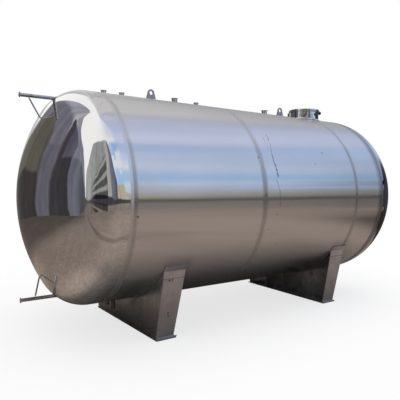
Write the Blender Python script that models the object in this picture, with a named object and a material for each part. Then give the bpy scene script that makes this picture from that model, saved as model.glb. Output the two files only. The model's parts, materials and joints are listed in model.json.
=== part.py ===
"""Horizontal stainless steel storage tank on two saddles, in metres, +Z up.

The tank lies along X with its gauge pipes at -X. The pieces are worked out in
the tank's own frame, with X = 0 where the left head's polish ends and Z = 0 on
the tank's axis, and the datum empty lifts that frame to its height over the
floor and puts the origin under the middle of the whole object.
"""
import math

import bmesh
import bpy
import numpy as np
from mathutils import Matrix

# Driving dimensions of the shell
RADIUS = 1.045                  # outer radius of shell and heads
WALL = 0.005                    # sheet thickness
CROWN_RADIUS = 1.680            # dishing of a head, 0.8 of the diameter
KNUCKLE_RADIUS = 0.335          # its rounding towards the rim, 0.16 of the diameter
FLANGES = (0.080, 0.048)        # straight flange of the left and the right head
SEAMS = (0.030, 1.500, 3.005, 3.520)   # the four round welds, along X
AXIS_HEIGHT = 1.345             # tank axis over the floor
GAP = 0.0003                    # clearance between pieces that touch
AROUND = 60                     # flat facets round the shell
KNUCKLE_FACETS = 6              # facets of a head's knuckle, from its rim inwards
CROWN_FACETS = 5                # and from there to its middle

# Driving dimensions of the saddles
SADDLE_X = (0.453, 2.866)       # left edge of each base plate
SADDLE_WEB_SIDE = (-1, 1)       # side of each saddle that its web closes
BASE_WIDTH = 0.220
BASE_HALF_LENGTH = 0.696
BASE_THICK = 0.014
LEG_WIDTH = 0.196               # end plates along X, at the foot
LEG_TOP_WIDTH = 0.236           # and at the pad: the edge away from the web slants
LEG_INSET = 0.002               # end plates behind the base plate's left edge
LEG_THICK = 0.012
LEG_FOOT_Y = 0.680              # outer face of an end plate at its foot
LEG_LEAN = math.radians(12.1)   # end plates lean outwards to the top
WEB_THICK = 0.010
RIB_Y = (-0.335, 0.0, 0.335)
RIB_THICK = 0.010
RIB_SHORT = 0.006               # ribs stop short of the end plates' slanting edge
PAD_THICK = 0.008
PAD_ANGLE = 55.0                # wear pad, degrees either side of the bottom
PAD_MARGIN = 0.006              # wear pad past the tops of the end plates

# Fittings along the top: place, neck radius, flange radius, height of the face
TOP_NOZZLES = (
    ("nozzle_top_1", 0.215, 0.0255, 0.0320, 0.043),
    ("nozzle_top_2", 0.416, 0.0255, 0.0320, 0.043),
    ("nozzle_top_3", 1.068, 0.0315, 0.0388, 0.059),
    ("nozzle_top_4", 1.363, 0.0255, 0.0320, 0.041),
    ("nozzle_top_5", 2.452, 0.0350, 0.0455, 0.059),
)
TUBE_WALL = 0.002
FERRULE_LIP = 0.006             # thickness of a ferrule's flange
LUG_X = (0.765, 2.736)
LUG_HALF_FOOT = 0.063
LUG_EYE_HEIGHT = 0.083          # centre of the eye over the shell
LUG_TOP_RADIUS = 0.040
LUG_EYE_RADIUS = 0.020
LUG_THICK = 0.012
LUG_PAD = (0.085, 0.050, 0.005)  # half length, half width, thickness

# Manway, in its own frame: its axis stands at MANWAY_X, turned about Z
MANWAY_X = 3.210
MANWAY_TURN = math.radians(-80.0)   # direction of the knob, seen from above
NECK_RADIUS = 0.200
NECK_WALL = 0.004
NECK_HEIGHT = 0.1235
NECK_FLARE = 0.022
NECK_FOOT_EDGE = 0.002
LID_RADIUS = 0.2095
LID_SKIRT = 0.003
LID_LOW = 0.097                 # lower edge of the skirt, over the shell
LID_TOP = 0.132                 # flat rim of the lid, over the shell
LID_FLAT_RADIUS = 0.150         # inside this the lid is domed
LID_DOME = 0.018
HINGE_OUT = 0.237               # hinge axis from the manway's axis
HINGE_HEIGHT = 0.095            # hinge axis over the shell
PIN_RADIUS = 0.005
PIN_HALF = 0.030
ARM_HALF = 0.015
ARM_THICK = 0.008
EYE_RADIUS = 0.012
POST_HALF = 0.026
POST_SLOT_HALF = 0.018
POST_DEPTH = 0.030
POST_CROWN = 0.014
STRAP_THICK = 0.004
STRAP_HALF = 0.015
STRAP_LOW = 0.052
KNOB_HEIGHT = 0.071
KNOB_RADIUS = 0.022
KNOB_STEM_RADIUS = 0.006
KNOB_END = 0.264

# Gauge pipes at the left head and outlets under the tank
GAUGE_HEIGHT = 0.950            # pipes above and below the axis
GAUGE_FACE_X = -0.607
GAUGE_RADIUS = 0.017
GAUGE_FLANGE_RADIUS = 0.0255
GAUGE_WALL = 0.0025
BRACE_RADIUS = 0.0075
BRACE_BEND = 0.014
BRACE_TOP = (-0.524, -0.420, 0.757)     # X at the pipe, corner X, height at the head
BRACE_BOTTOM = (-0.472, -0.430, 0.742)
DRAIN_X = 0.330
DRAIN_RADIUS = 0.0225
DRAIN_LENGTH = 0.123
SMALL_DRAIN_X = 0.264
SMALL_DRAIN = (0.0160, 0.0255, 0.070)           # neck and flange radius, length

HEAD_DEPTH = CROWN_RADIUS - math.sqrt((CROWN_RADIUS - KNUCKLE_RADIUS) ** 2
                                      - (RADIUS - KNUCKLE_RADIUS) ** 2)
LEFT_BASE = SEAMS[0] - FLANGES[0]       # where the left head starts to bulge
RIGHT_END = SEAMS[3] + FLANGES[1] + HEAD_DEPTH
LENGTH_MIDDLE = (GAUGE_FACE_X + RIGHT_END) / 2


# Materials and objects

def steel(name, color, roughness, metallic=1.0):
    """Plain Principled material of one finish."""
    material = bpy.data.materials.new(name)
    material.use_nodes = True
    shader = material.node_tree.nodes["Principled BSDF"]
    shader.inputs["Base Color"].default_value = (*color, 1.0)
    shader.inputs["Roughness"].default_value = roughness
    shader.inputs["Metallic"].default_value = metallic
    return material


def clear_scene():
    """Remove whatever the file holds before modelling."""
    for obj in list(bpy.data.objects):
        bpy.data.objects.remove(obj)


def empty(name, location, parent=None, turn=0.0):
    """A frame that pieces are parented to."""
    obj = bpy.data.objects.new(name, None)
    obj.location = location
    obj.rotation_euler = (0.0, 0.0, turn)
    obj.parent = parent
    bpy.context.collection.objects.link(obj)
    return obj


def solid(name, bm, material, parent, smooth=None):
    """Object from a bmesh, faces outwards; smooth is the sharp edge angle."""
    bmesh.ops.recalc_face_normals(bm, faces=bm.faces)
    mesh = bpy.data.meshes.new(name)
    bm.to_mesh(mesh)
    bm.free()
    if smooth is not None:
        mesh.shade_smooth()
        mesh.set_sharp_from_angle(angle=math.radians(smooth))
    mesh.materials.append(material)
    obj = bpy.data.objects.new(name, mesh)
    obj.parent = parent
    bpy.context.collection.objects.link(obj)
    return obj


def cut(target, name, bm):
    """Boolean difference of target and a hidden cutter."""
    cutter = solid(name, bm, target.data.materials[0], target.parent)
    cutter.hide_render = True
    cutter.display_type = "WIRE"
    boolean = target.modifiers.new(name, "BOOLEAN")
    boolean.operation = "DIFFERENCE"
    boolean.solver = "EXACT"
    boolean.object = cutter


# Shapes

def stacked_rings(rings):
    """Closed solid from rings of points; the last ring joins the first.

    A ring is an (n, 3) array. A ring of one point closes the shape there.
    """
    bm = bmesh.new()
    verts = [[bm.verts.new(point) for point in ring] for ring in rings]
    for lower, upper in zip(verts, verts[1:] + verts[:1]):
        count = max(len(lower), len(upper))
        if len(lower) == 1 and len(upper) == 1:
            continue
        for i in range(count):
            j = (i + 1) % count
            quad = [lower[i % len(lower)], lower[j % len(lower)],
                    upper[j % len(upper)], upper[i % len(upper)]]
            bm.faces.new(list(dict.fromkeys(quad)))
    return bm


def circle(radius, sides):
    """Points of a circle about the origin, as two arrays."""
    angle = np.arange(sides) * 2 * math.pi / sides
    return radius * np.cos(angle), radius * np.sin(angle)


def turned(profile, sides, axis="Z"):
    """Solid of revolution of an (r, h) profile about X or Z."""
    rings = []
    for radius, height in profile:
        if radius == 0:
            a, b = np.zeros(1), np.zeros(1)
        else:
            a, b = circle(radius, sides)
        h = np.full_like(a, height)
        rings.append(np.stack((h, a, b) if axis == "X" else (a, b, h), axis=1))
    return stacked_rings(rings)


def extruded(outline, low, high, axis):
    """Prism of an outline: (y, z) along X, or (x, z) along Y."""
    bm = bmesh.new()

    def place(a, b, along):
        return (along, a, b) if axis == "X" else (a, along, b)

    lower = bm.faces.new([bm.verts.new(place(a, b, low)) for a, b in outline])
    result = bmesh.ops.extrude_face_region(bm, geom=[lower])
    moved = [item for item in result["geom"] if isinstance(item, bmesh.types.BMVert)]
    bmesh.ops.translate(bm, verts=moved, vec=place(0, 0, high - low))
    return bm


def box(low, high):
    """Box between two corners."""
    size = [b - a for a, b in zip(low, high)]
    middle = [(a + b) / 2 for a, b in zip(low, high)]
    bm = bmesh.new()
    matrix = Matrix.Translation(middle) @ Matrix.Diagonal((*size, 1.0))
    bmesh.ops.create_cube(bm, size=1.0, matrix=matrix)
    return bm


def rod(path, radius, sides):
    """Round bar along a flat path in the XZ plane."""
    path = np.asarray(path, dtype=float)
    tangent = np.gradient(path, axis=0)
    tangent /= np.linalg.norm(tangent, axis=1)[:, None]
    a, b = circle(radius, sides)
    rings = [path[:1]]
    for point, direction in zip(path, tangent):
        side = np.array((-direction[2], 0.0, direction[0]))
        rings.append(point + np.outer(a, side) + np.outer(b, (0.0, 1.0, 0.0)))
    rings.append(path[-1:])
    return stacked_rings(rings)


# Surfaces that other pieces sit on

def shell_height(y):
    """Height of the round shell over the axis at y."""
    return np.sqrt(RADIUS ** 2 - np.asarray(y) ** 2)


def facet_depth(y, radius):
    """Z of the faceted shell's underside, for a shell of this radius."""
    step = 2 * math.pi / AROUND
    angle = np.arange(-AROUND // 4, AROUND // 4 + 1) * step
    return np.interp(y, radius * np.sin(angle), -radius * np.cos(angle))


def head_rings(inset=0.0):
    """Rings (r, bulge) of a dished head from its rim to its middle.

    The knuckle is an arc about (RADIUS - KNUCKLE_RADIUS, 0) and the crown an arc about
    a point on the axis; the two touch where both lie at the same angle to the axis.
    """
    across = RADIUS - KNUCKLE_RADIUS
    touch = math.asin(across / (CROWN_RADIUS - KNUCKLE_RADIUS))
    t = np.linspace(math.pi / 2, touch, KNUCKLE_FACETS + 1)[:, None]
    knuckle = np.hstack((across + (KNUCKLE_RADIUS - inset) * np.sin(t),
                         (KNUCKLE_RADIUS - inset) * np.cos(t)))
    t = np.linspace(touch, 0, CROWN_FACETS + 1)[1:, None]
    crown = np.hstack(((CROWN_RADIUS - inset) * np.sin(t),
                       HEAD_DEPTH - CROWN_RADIUS + (CROWN_RADIUS - inset) * np.cos(t)))
    rings = np.vstack((knuckle, crown))
    rings[-1, 0] = 0
    return rings


def left_head_x(radius):
    """X of the faceted left head at this distance from the axis."""
    rings = head_rings()[::-1]
    return LEFT_BASE - np.interp(radius, rings[:, 0], rings[:, 1])


# Shell and heads

def make_head(name, seam, side, flange, material, datum):
    """Dished head, its rim on a seam, bulging to side (-1 or 1) along X."""
    rim = seam + side * GAP / 2
    base = seam + side * flange
    outer = [(RADIUS, rim)]
    outer += [(r, base + side * b) for r, b in head_rings()]
    inner = [(RADIUS - WALL, rim)]
    inner += [(r, base + side * b) for r, b in head_rings(WALL)]
    bm = turned(outer + inner[::-1], AROUND, "X")
    return solid(name, bm, material, datum, smooth=40)


def make_course(name, left, right, material, datum):
    """Rolled shell course between two seams."""
    inner = RADIUS - WALL
    low, high = left + GAP / 2, right - GAP / 2
    profile = [(RADIUS, low), (RADIUS, high), (inner, high), (inner, low)]
    return solid(name, turned(profile, AROUND, "X"), material, datum, smooth=40)


def upright_cutter(x, radius, low, high, sides):
    """Round cutter that stands on the tank's centre plane."""
    bm = turned([(0, low), (radius, low), (radius, high), (0, high)], sides)
    bmesh.ops.translate(bm, verts=bm.verts, vec=(x, 0, 0))
    return bm


def cut_shell_holes(courses):
    """Openings in the shell under the manway, the nozzles and the outlets."""
    half = RADIUS / 2
    deep = RADIUS + half
    holes = [(name, x, neck - TUBE_WALL, half, deep)
             for name, x, neck, flange, face in TOP_NOZZLES]
    holes.append(("manway", MANWAY_X, NECK_RADIUS - NECK_WALL, half, deep))
    holes.append(("drain", DRAIN_X, DRAIN_RADIUS - TUBE_WALL, -deep, -half))
    holes.append(("drain_small", SMALL_DRAIN_X, SMALL_DRAIN[0] - TUBE_WALL, -deep, -half))
    for name, x, radius, low, high in holes:
        course = courses[sum(x > seam for seam in SEAMS[1:3])]
        sides = 32 if name == "manway" else 12
        cut(course, "hole_" + name, upright_cutter(x, radius, low, high, sides))


# Pipes that stand on the shell or the head

def ferrule_tube(x, neck, flange, length, lip, side, sides=16):
    """Tube standing on the shell with a flange at its free end.

    side is 1 on top and -1 underneath; its foot follows the round shell.
    """
    inner = neck - TUBE_WALL
    face = side * (RADIUS + length)
    lip_start = face - side * lip
    rings = []
    for radius, height in ((neck, None), (neck, lip_start), (flange, lip_start),
                           (flange, face), (inner, face), (inner, None)):
        a, b = circle(radius, sides)
        h = side * (shell_height(b) + GAP) if height is None else np.full(sides, height)
        rings.append(np.stack((x + a, b, h), axis=1))
    return stacked_rings(rings)


def plain_tube(x, radius, length, side, sides=16):
    """Tube without a flange, its foot on the round shell."""
    rings = []
    for r, height in ((radius, None), (radius, RADIUS + length),
                      (radius - TUBE_WALL, RADIUS + length), (radius - TUBE_WALL, None)):
        a, b = circle(r, sides)
        h = shell_height(b) + GAP if height is None else np.full(sides, height)
        rings.append(np.stack((x + a, b, side * h), axis=1))
    return stacked_rings(rings)


def gauge_pipe(height, sides=12):
    """Pipe along X from a ferrule to the left head, at a height."""
    inner = GAUGE_RADIUS - GAUGE_WALL
    lip_end = GAUGE_FACE_X + FERRULE_LIP
    rings = []
    for radius, x in ((GAUGE_RADIUS, None), (GAUGE_RADIUS, lip_end),
                      (GAUGE_FLANGE_RADIUS, lip_end),
                      (GAUGE_FLANGE_RADIUS, GAUGE_FACE_X),
                      (inner, GAUGE_FACE_X), (inner, None)):
        a, b = circle(radius, sides)
        reach = left_head_x(np.hypot(a, height + b)) - GAP
        along = reach if x is None else np.full(sides, x)
        rings.append(np.stack((along, a, height + b), axis=1))
    return stacked_rings(rings)


def brace_path(pipe_x, corner_x, height, side):
    """Straight run from the pipe to a corner, rounded into a short foot along X.

    Worked out above the axis; side -1 turns it over for the lower brace.
    """
    under_pipe = GAUGE_HEIGHT - GAUGE_RADIUS
    heading = math.atan2(height - under_pipe, corner_x - pipe_x)
    along = np.array((math.cos(heading), math.sin(heading)))
    left = np.array((-math.sin(heading), math.cos(heading)))
    start = np.array((pipe_x, under_pipe - GAP - BRACE_RADIUS * along[0]))
    bend_start = (corner_x, height) - along * BRACE_BEND * math.tan(-heading / 2)
    centre = bend_start + left * BRACE_BEND
    turn = np.linspace(heading, 0, 6)
    bend = centre + BRACE_BEND * np.stack((np.sin(turn), -np.cos(turn)), axis=1)
    foot = np.array((left_head_x(height - BRACE_RADIUS) - GAP, height))
    points = np.vstack((start, bend, foot))
    return np.stack((points[:, 0], np.zeros(len(points)), side * points[:, 1]), axis=1)


def make_gauge(datum, material, head):
    """Upper and lower gauge pipes, their braces and the holes behind them."""
    for word, side, brace in (("top", 1, BRACE_TOP), ("bottom", -1, BRACE_BOTTOM)):
        height = side * GAUGE_HEIGHT
        solid("gauge_pipe_" + word, gauge_pipe(height), material, datum, smooth=40)
        path = brace_path(*brace, side)
        solid("gauge_brace_" + word, rod(path, BRACE_RADIUS, 8), material, datum, smooth=40)
        bore = turned([(0, GAUGE_FACE_X), (GAUGE_RADIUS - GAUGE_WALL, GAUGE_FACE_X),
                       (GAUGE_RADIUS - GAUGE_WALL, 0), (0, 0)], 12, "X")
        bmesh.ops.translate(bore, verts=bore.verts, vec=(0, 0, height))
        cut(head, "hole_gauge_" + word, bore)


# Lifting lugs

def make_lug(name, x, material, datum):
    """Plate with a round top and an eye, standing on its pad.

    Its straight sides run from the foot's corners to where they touch the round top.
    """
    eye = RADIUS + LUG_EYE_HEIGHT
    foot = RADIUS + LUG_PAD[2] + 2 * GAP
    slope = math.atan2(LUG_HALF_FOOT, eye - foot)
    reach = math.hypot(LUG_HALF_FOOT, eye - foot)
    shoulder = math.pi - slope - math.acos(LUG_TOP_RADIUS / reach)
    angles = np.linspace(-shoulder, shoulder, 13)
    outline = [(x - LUG_HALF_FOOT, foot)]
    outline += [(x + LUG_TOP_RADIUS * math.sin(a), eye + LUG_TOP_RADIUS * math.cos(a))
                for a in angles]
    outline += [(x + LUG_HALF_FOOT, foot)]
    half = LUG_THICK / 2
    lug = solid(name, extruded(outline, -half, half, "Y"), material, datum, smooth=40)
    a, b = circle(LUG_EYE_RADIUS, 16)
    hole = extruded(list(zip(x + a, eye + b)), -2 * half, 2 * half, "Y")
    cut(lug, name + "_eye", hole)


def make_lug_pad(name, x, material, datum):
    """Curved plate under a lug."""
    half_length, half_width, thick = LUG_PAD
    y = np.linspace(-half_width, half_width, 7)
    low = np.sqrt((RADIUS + GAP) ** 2 - y ** 2)
    high = np.sqrt((RADIUS + GAP + thick) ** 2 - y ** 2)
    outline = list(zip(y, low)) + list(zip(y[::-1], high[::-1]))
    bm = extruded(outline, x - half_length, x + half_length, "X")
    solid(name, bm, material, datum, smooth=40)


# Manway

def neck_ring(radius, height, sides=32):
    """Ring of the manway neck, height above the round shell under it."""
    a, b = circle(radius, sides)
    y = math.sin(MANWAY_TURN) * a + math.cos(MANWAY_TURN) * b
    return np.stack((a, b, shell_height(y) + height), axis=1)


def make_neck(frame, material):
    """Neck with a flared foot; the flare is a quarter circle off the shell."""
    rings = [neck_ring(NECK_RADIUS + NECK_FLARE, GAP)]
    for t in np.linspace(0, math.pi / 2, 5):
        rings.append(neck_ring(NECK_RADIUS + NECK_FLARE * (1 - math.sin(t)),
                               GAP + NECK_FOOT_EDGE + NECK_FLARE * (1 - math.cos(t))))
    for radius in (NECK_RADIUS, NECK_RADIUS - NECK_WALL):
        a, b = circle(radius, 32)
        rings.append(np.stack((a, b, np.full(32, RADIUS + NECK_HEIGHT)), axis=1))
    rings.append(neck_ring(NECK_RADIUS - NECK_WALL, GAP))
    solid("manway_neck", stacked_rings(rings), material, frame, smooth=40)


def lid_profile():
    """Section of the lid from its middle on top, round the skirt, and back."""
    top, low = RADIUS + LID_TOP, RADIUS + LID_LOW
    skin = LID_SKIRT
    crown = [(LID_FLAT_RADIUS * f, top + LID_DOME * (1 - f * f)) for f in (0, 0.35, 0.7, 1)]
    outer = crown + [(LID_RADIUS - skin, top), (LID_RADIUS, top - skin), (LID_RADIUS, low)]
    inner = [(LID_RADIUS - skin, low), (LID_RADIUS - skin, top - skin)]
    inner += [(r, z - skin) for r, z in crown[::-1]]
    return outer + inner


def on_hinge(bm):
    """Move a shape from the manway's frame to the hinge's frame."""
    bmesh.ops.translate(bm, verts=bm.verts, vec=(HINGE_OUT, 0, -(RADIUS + HINGE_HEIGHT)))
    return bm


def pin_cutter(radius):
    """Round cutter along the hinge axis, in the hinge's frame."""
    a, b = circle(radius, 12)
    return extruded(list(zip(a, b)), -2 * PIN_HALF, 2 * PIN_HALF, "Y")


def make_lid(hinge, material, knob_material):
    """Lid, hinge arm, latch strap and knob: the pieces that swing."""
    solid("manway_lid", on_hinge(turned(lid_profile(), 32)), material, hinge, smooth=40)
    seat = LID_TOP - HINGE_HEIGHT + GAP
    rise = seat + ARM_THICK
    half = ARM_THICK / 2
    end = HINGE_OUT - LID_FLAT_RADIUS - ARM_THICK
    start = math.acos(half / EYE_RADIUS)
    angles = np.linspace(start, -math.pi - start, 13)
    outline = [(EYE_RADIUS * math.cos(a), EYE_RADIUS * math.sin(a)) for a in angles]
    outline += [(-half, rise), (end, rise), (end, seat), (half, seat)]
    arm = solid("manway_hinge_arm", extruded(outline, -ARM_HALF, ARM_HALF, "Y"),
                material, hinge, smooth=40)
    cut(arm, "manway_hinge_arm_bore", pin_cutter(PIN_RADIUS + 0.0004))

    strap = box((LID_RADIUS + GAP, -STRAP_HALF, RADIUS + STRAP_LOW),
                (LID_RADIUS + GAP + STRAP_THICK, STRAP_HALF, RADIUS + LID_TOP - LID_SKIRT))
    solid("manway_latch_strap", on_hinge(strap), material, hinge)
    stem = LID_RADIUS + STRAP_THICK + 2 * GAP
    ball = stem + 0.010
    length = KNOB_END - ball
    profile = [(0, stem), (KNOB_STEM_RADIUS, stem), (KNOB_STEM_RADIUS, ball)]
    for share, reach in ((0.0, 0.6), (0.18, 0.9), (0.5, 1.0), (0.82, 0.9), (1.0, 0.55)):
        profile.append((KNOB_RADIUS * reach, ball + length * share))
    profile.append((0, KNOB_END))
    knob = turned(profile, 16, "X")
    bmesh.ops.translate(knob, verts=knob.verts, vec=(0, 0, RADIUS + KNOB_HEIGHT))
    solid("manway_knob", on_hinge(knob), knob_material, hinge, smooth=50)


def make_hinge_post(frame, material):
    """Forked post on the shell that holds the hinge pin, and the pin."""
    u = np.linspace(-HINGE_OUT - POST_DEPTH / 2, -HINGE_OUT + POST_DEPTH / 2, 3)
    bm = bmesh.new()
    grid = []
    for v in (-POST_HALF, POST_HALF):
        y = math.sin(MANWAY_TURN) * u + math.cos(MANWAY_TURN) * v
        foot = shell_height(y) + GAP
        crown = np.full(3, RADIUS + HINGE_HEIGHT + POST_CROWN)
        loop = [(a, v, b) for a, b in zip(u, foot)]
        loop += [(a, v, b) for a, b in zip(u[::-1], crown)]
        grid.append([bm.verts.new(p) for p in loop])
    near, far = grid
    bm.faces.new(near)
    bm.faces.new(far)
    for i in range(len(near)):
        j = (i + 1) % len(near)
        bm.faces.new((near[i], near[j], far[j], far[i]))
    on_hinge(bm)
    post = solid("manway_hinge_post", bm, material, frame)
    deep = POST_DEPTH
    cut(post, "manway_hinge_slot", box((-deep, -POST_SLOT_HALF, -deep),
                                       (deep, POST_SLOT_HALF, deep)))
    cut(post, "manway_hinge_bore", pin_cutter(PIN_RADIUS + GAP))
    a, b = circle(PIN_RADIUS, 12)
    pin = extruded(list(zip(a, b)), -PIN_HALF, PIN_HALF, "Y")
    solid("manway_hinge_pin", pin, material, frame, smooth=40)


def make_manway(datum, polished, knob_material):
    """Round manway on the shell, its hinged lid closed."""
    frame = empty("manway_frame", (MANWAY_X, 0, 0), datum, MANWAY_TURN)
    make_neck(frame, polished)
    hinge = empty("manway_lid_hinge", (-HINGE_OUT, 0, RADIUS + HINGE_HEIGHT), frame)
    make_hinge_post(hinge, polished)
    make_lid(hinge, polished, knob_material)


# Saddles

def reach_pad(y, z):
    """Length of an end plate's face from its foot at (y, z) up to the pad."""
    radius = RADIUS + PAD_THICK + 2 * GAP
    low, high = 0.0, RADIUS
    for _ in range(40):
        middle = (low + high) / 2
        at_y = y + middle * math.sin(LEG_LEAN)
        at_z = z + middle * math.cos(LEG_LEAN)
        if at_z < facet_depth(at_y, radius):
            low = middle
        else:
            high = middle
    return low


def leg_face(y, z):
    """Foot and top (y, z) of one face of an end plate."""
    reach = reach_pad(y, z)
    return (y, z), (y + reach * math.sin(LEG_LEAN), z + reach * math.cos(LEG_LEAN))


def pad_outline():
    """Wear pad round the underside, on the shell's own facets."""
    step = 360.0 / AROUND
    inside = np.arange(-int(PAD_ANGLE // step), int(PAD_ANGLE // step) + 1) * step
    angle = np.radians(np.concatenate(([-PAD_ANGLE], inside, [PAD_ANGLE])))
    inner = RADIUS + GAP
    outer = RADIUS + GAP + PAD_THICK

    def along(radius):
        y = radius * np.sin(angle)
        return list(zip(y, facet_depth(y, radius)))

    return along(inner) + along(outer)[::-1]


def web_outline(floor):
    """Web plate between the end plates, its top on the pad's facets."""
    foot, top = leg_face(LEG_FOOT_Y - (LEG_THICK + GAP) / math.cos(LEG_LEAN), floor)
    radius = RADIUS + PAD_THICK + 2 * GAP
    step = 2 * math.pi / AROUND
    angle = np.arange(-AROUND // 4, AROUND // 4 + 1) * step
    inside = [a for a in angle if radius * abs(math.sin(a)) < top[0] - GAP]
    arc = [(radius * math.sin(a), -radius * math.cos(a)) for a in inside]
    return [(-foot[0], floor), (-top[0], top[1])] + arc + [top, foot]


def slanted(bm, edge, lean, floor):
    """Prism whose side at X = edge leans along X by lean for each metre over the floor."""
    for vert in bm.verts:
        if abs(vert.co.x - edge) < 1e-5:
            vert.co.x += lean * (vert.co.z - floor)
    return bm


def make_saddle(word, left, web_side, datum, plate, pad_steel):
    """Base plate, web, two leaning end plates, three ribs and the wear pad."""
    prefix = "saddle_" + word + "_"
    ground = -AXIS_HEIGHT
    solid(prefix + "base", box((left, -BASE_HALF_LENGTH, ground),
                               (left + BASE_WIDTH, BASE_HALF_LENGTH, ground + BASE_THICK)),
          plate, datum)
    floor = ground + BASE_THICK + GAP
    leg_low = left + LEG_INSET
    leg_high = leg_low + LEG_WIDTH
    outer_foot, outer_top = leg_face(LEG_FOOT_Y, floor)
    inner_foot, inner_top = leg_face(LEG_FOOT_Y - LEG_THICK / math.cos(LEG_LEAN), floor)
    leg = [outer_foot, outer_top, inner_top, inner_foot]
    lean = -web_side * (LEG_TOP_WIDTH - LEG_WIDTH) / (outer_top[1] - floor)
    free_edge = leg_high if web_side < 0 else leg_low
    for end, side in (("front", -1), ("back", 1)):
        outline = [(side * y, z) for y, z in leg]
        bm = slanted(extruded(outline, leg_low, leg_high, "X"), free_edge, lean, floor)
        solid(prefix + "end_" + end, bm, plate, datum)

    web_low = leg_low if web_side < 0 else leg_high - WEB_THICK
    web_high = web_low + WEB_THICK
    solid(prefix + "web", extruded(web_outline(floor), web_low, web_high, "X"), plate, datum)

    rib_low = web_high + GAP if web_side < 0 else leg_low + RIB_SHORT
    rib_high = leg_high - RIB_SHORT if web_side < 0 else web_low - GAP
    rib_edge = free_edge + web_side * RIB_SHORT
    for number, y in enumerate(RIB_Y, start=1):
        sides = np.array((y - RIB_THICK / 2, y, y + RIB_THICK / 2))
        top = facet_depth(sides, RADIUS + PAD_THICK + 2 * GAP)
        outline = [(sides[0], floor)] + list(zip(sides, top)) + [(sides[2], floor)]
        bm = slanted(extruded(outline, rib_low, rib_high, "X"), rib_edge, lean, floor)
        solid(prefix + "rib_%d" % number, bm, plate, datum)

    pad_ends = sorted((free_edge - web_side * (LEG_TOP_WIDTH - LEG_WIDTH + PAD_MARGIN),
                       free_edge + web_side * (LEG_WIDTH + PAD_MARGIN)))
    solid(prefix + "pad", extruded(pad_outline(), *pad_ends, "X"), pad_steel, datum, smooth=40)


# The whole tank

def main():
    clear_scene()
    mirror = steel("mirror_steel", (0.78, 0.78, 0.79), 0.08)
    brushed = steel("brushed_steel", (0.62, 0.63, 0.66), 0.28)
    satin = steel("satin_steel", (0.60, 0.60, 0.61), 0.35)
    plate = steel("saddle_steel", (0.52, 0.49, 0.47), 0.40)
    knob = steel("knob_plastic", (0.03, 0.03, 0.03), 0.45, metallic=0.0)

    datum = empty("tank_datum", (-LENGTH_MIDDLE, 0, AXIS_HEIGHT))
    left_head = make_head("head_left", SEAMS[0], -1, FLANGES[0], mirror, datum)
    make_head("head_right", SEAMS[3], 1, FLANGES[1], mirror, datum)
    courses = [make_course("shell_course_%d" % (i + 1), SEAMS[i], SEAMS[i + 1], brushed, datum)
               for i in range(3)]
    cut_shell_holes(courses)
    for name, x, neck, flange, height in TOP_NOZZLES:
        bm = ferrule_tube(x, neck, flange, height, FERRULE_LIP, 1)
        solid(name, bm, satin, datum, smooth=40)
    solid("drain_pipe", plain_tube(DRAIN_X, DRAIN_RADIUS, DRAIN_LENGTH, -1), satin, datum,
          smooth=40)
    neck, flange, length = SMALL_DRAIN
    solid("drain_small", ferrule_tube(SMALL_DRAIN_X, neck, flange, length, FERRULE_LIP, -1),
          satin, datum, smooth=40)
    for number, x in enumerate(LUG_X, start=1):
        make_lug("lifting_lug_%d" % number, x, satin, datum)
        make_lug_pad("lug_pad_%d" % number, x, satin, datum)
    make_manway(datum, mirror, knob)
    make_gauge(datum, satin, left_head)
    for word, left, web_side in zip(("left", "right"), SADDLE_X, SADDLE_WEB_SIDE):
        make_saddle(word, left, web_side, datum, plate, satin)


main()
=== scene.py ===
"""Horizontal stainless steel storage tank: its looks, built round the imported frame.

Run as a script in Blender, it dresses the frame's pieces one group at a time: each
group has an operator, and the panel in the sidebar lists them in order. Every length
is in metres, in the frame's own axes: the tank lies along X, +Z is up.
"""
import json
import math

import bmesh
import bpy
import numpy as np
from mathutils import Matrix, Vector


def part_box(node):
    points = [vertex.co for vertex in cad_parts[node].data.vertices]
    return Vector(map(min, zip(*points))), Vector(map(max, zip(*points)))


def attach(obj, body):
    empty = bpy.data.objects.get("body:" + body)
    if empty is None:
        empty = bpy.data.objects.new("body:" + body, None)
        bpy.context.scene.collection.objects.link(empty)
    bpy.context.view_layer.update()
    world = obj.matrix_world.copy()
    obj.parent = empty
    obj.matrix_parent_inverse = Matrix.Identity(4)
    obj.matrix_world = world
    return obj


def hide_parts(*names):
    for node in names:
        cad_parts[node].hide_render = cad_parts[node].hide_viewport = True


bl_info = {
    "name": "Horizontal Storage Tank",
    "version": (1, 0, 0),
    "blender": (4, 5, 0),
    "location": "3D View > Sidebar > Tank",
    "description": "Smooth polished surfaces, finishes and studio for a storage tank",
    "category": "Object",
}

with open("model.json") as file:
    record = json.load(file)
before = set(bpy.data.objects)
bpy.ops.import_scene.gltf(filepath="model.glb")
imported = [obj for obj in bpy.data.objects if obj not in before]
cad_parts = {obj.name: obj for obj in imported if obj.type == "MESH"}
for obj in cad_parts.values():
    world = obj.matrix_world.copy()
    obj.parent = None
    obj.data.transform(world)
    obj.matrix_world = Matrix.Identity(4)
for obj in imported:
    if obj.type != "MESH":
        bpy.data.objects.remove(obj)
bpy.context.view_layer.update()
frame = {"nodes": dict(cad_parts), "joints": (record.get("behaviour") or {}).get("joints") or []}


# Places that the frame gives

def corners(node):
    """Lowest and highest corner of a frame node, as arrays."""
    return [np.array(corner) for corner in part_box(node)]


def middle_x(node):
    """Place along X of the middle of a frame node."""
    low, high = corners(node)
    return float(low[0] + high[0]) / 2


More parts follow.
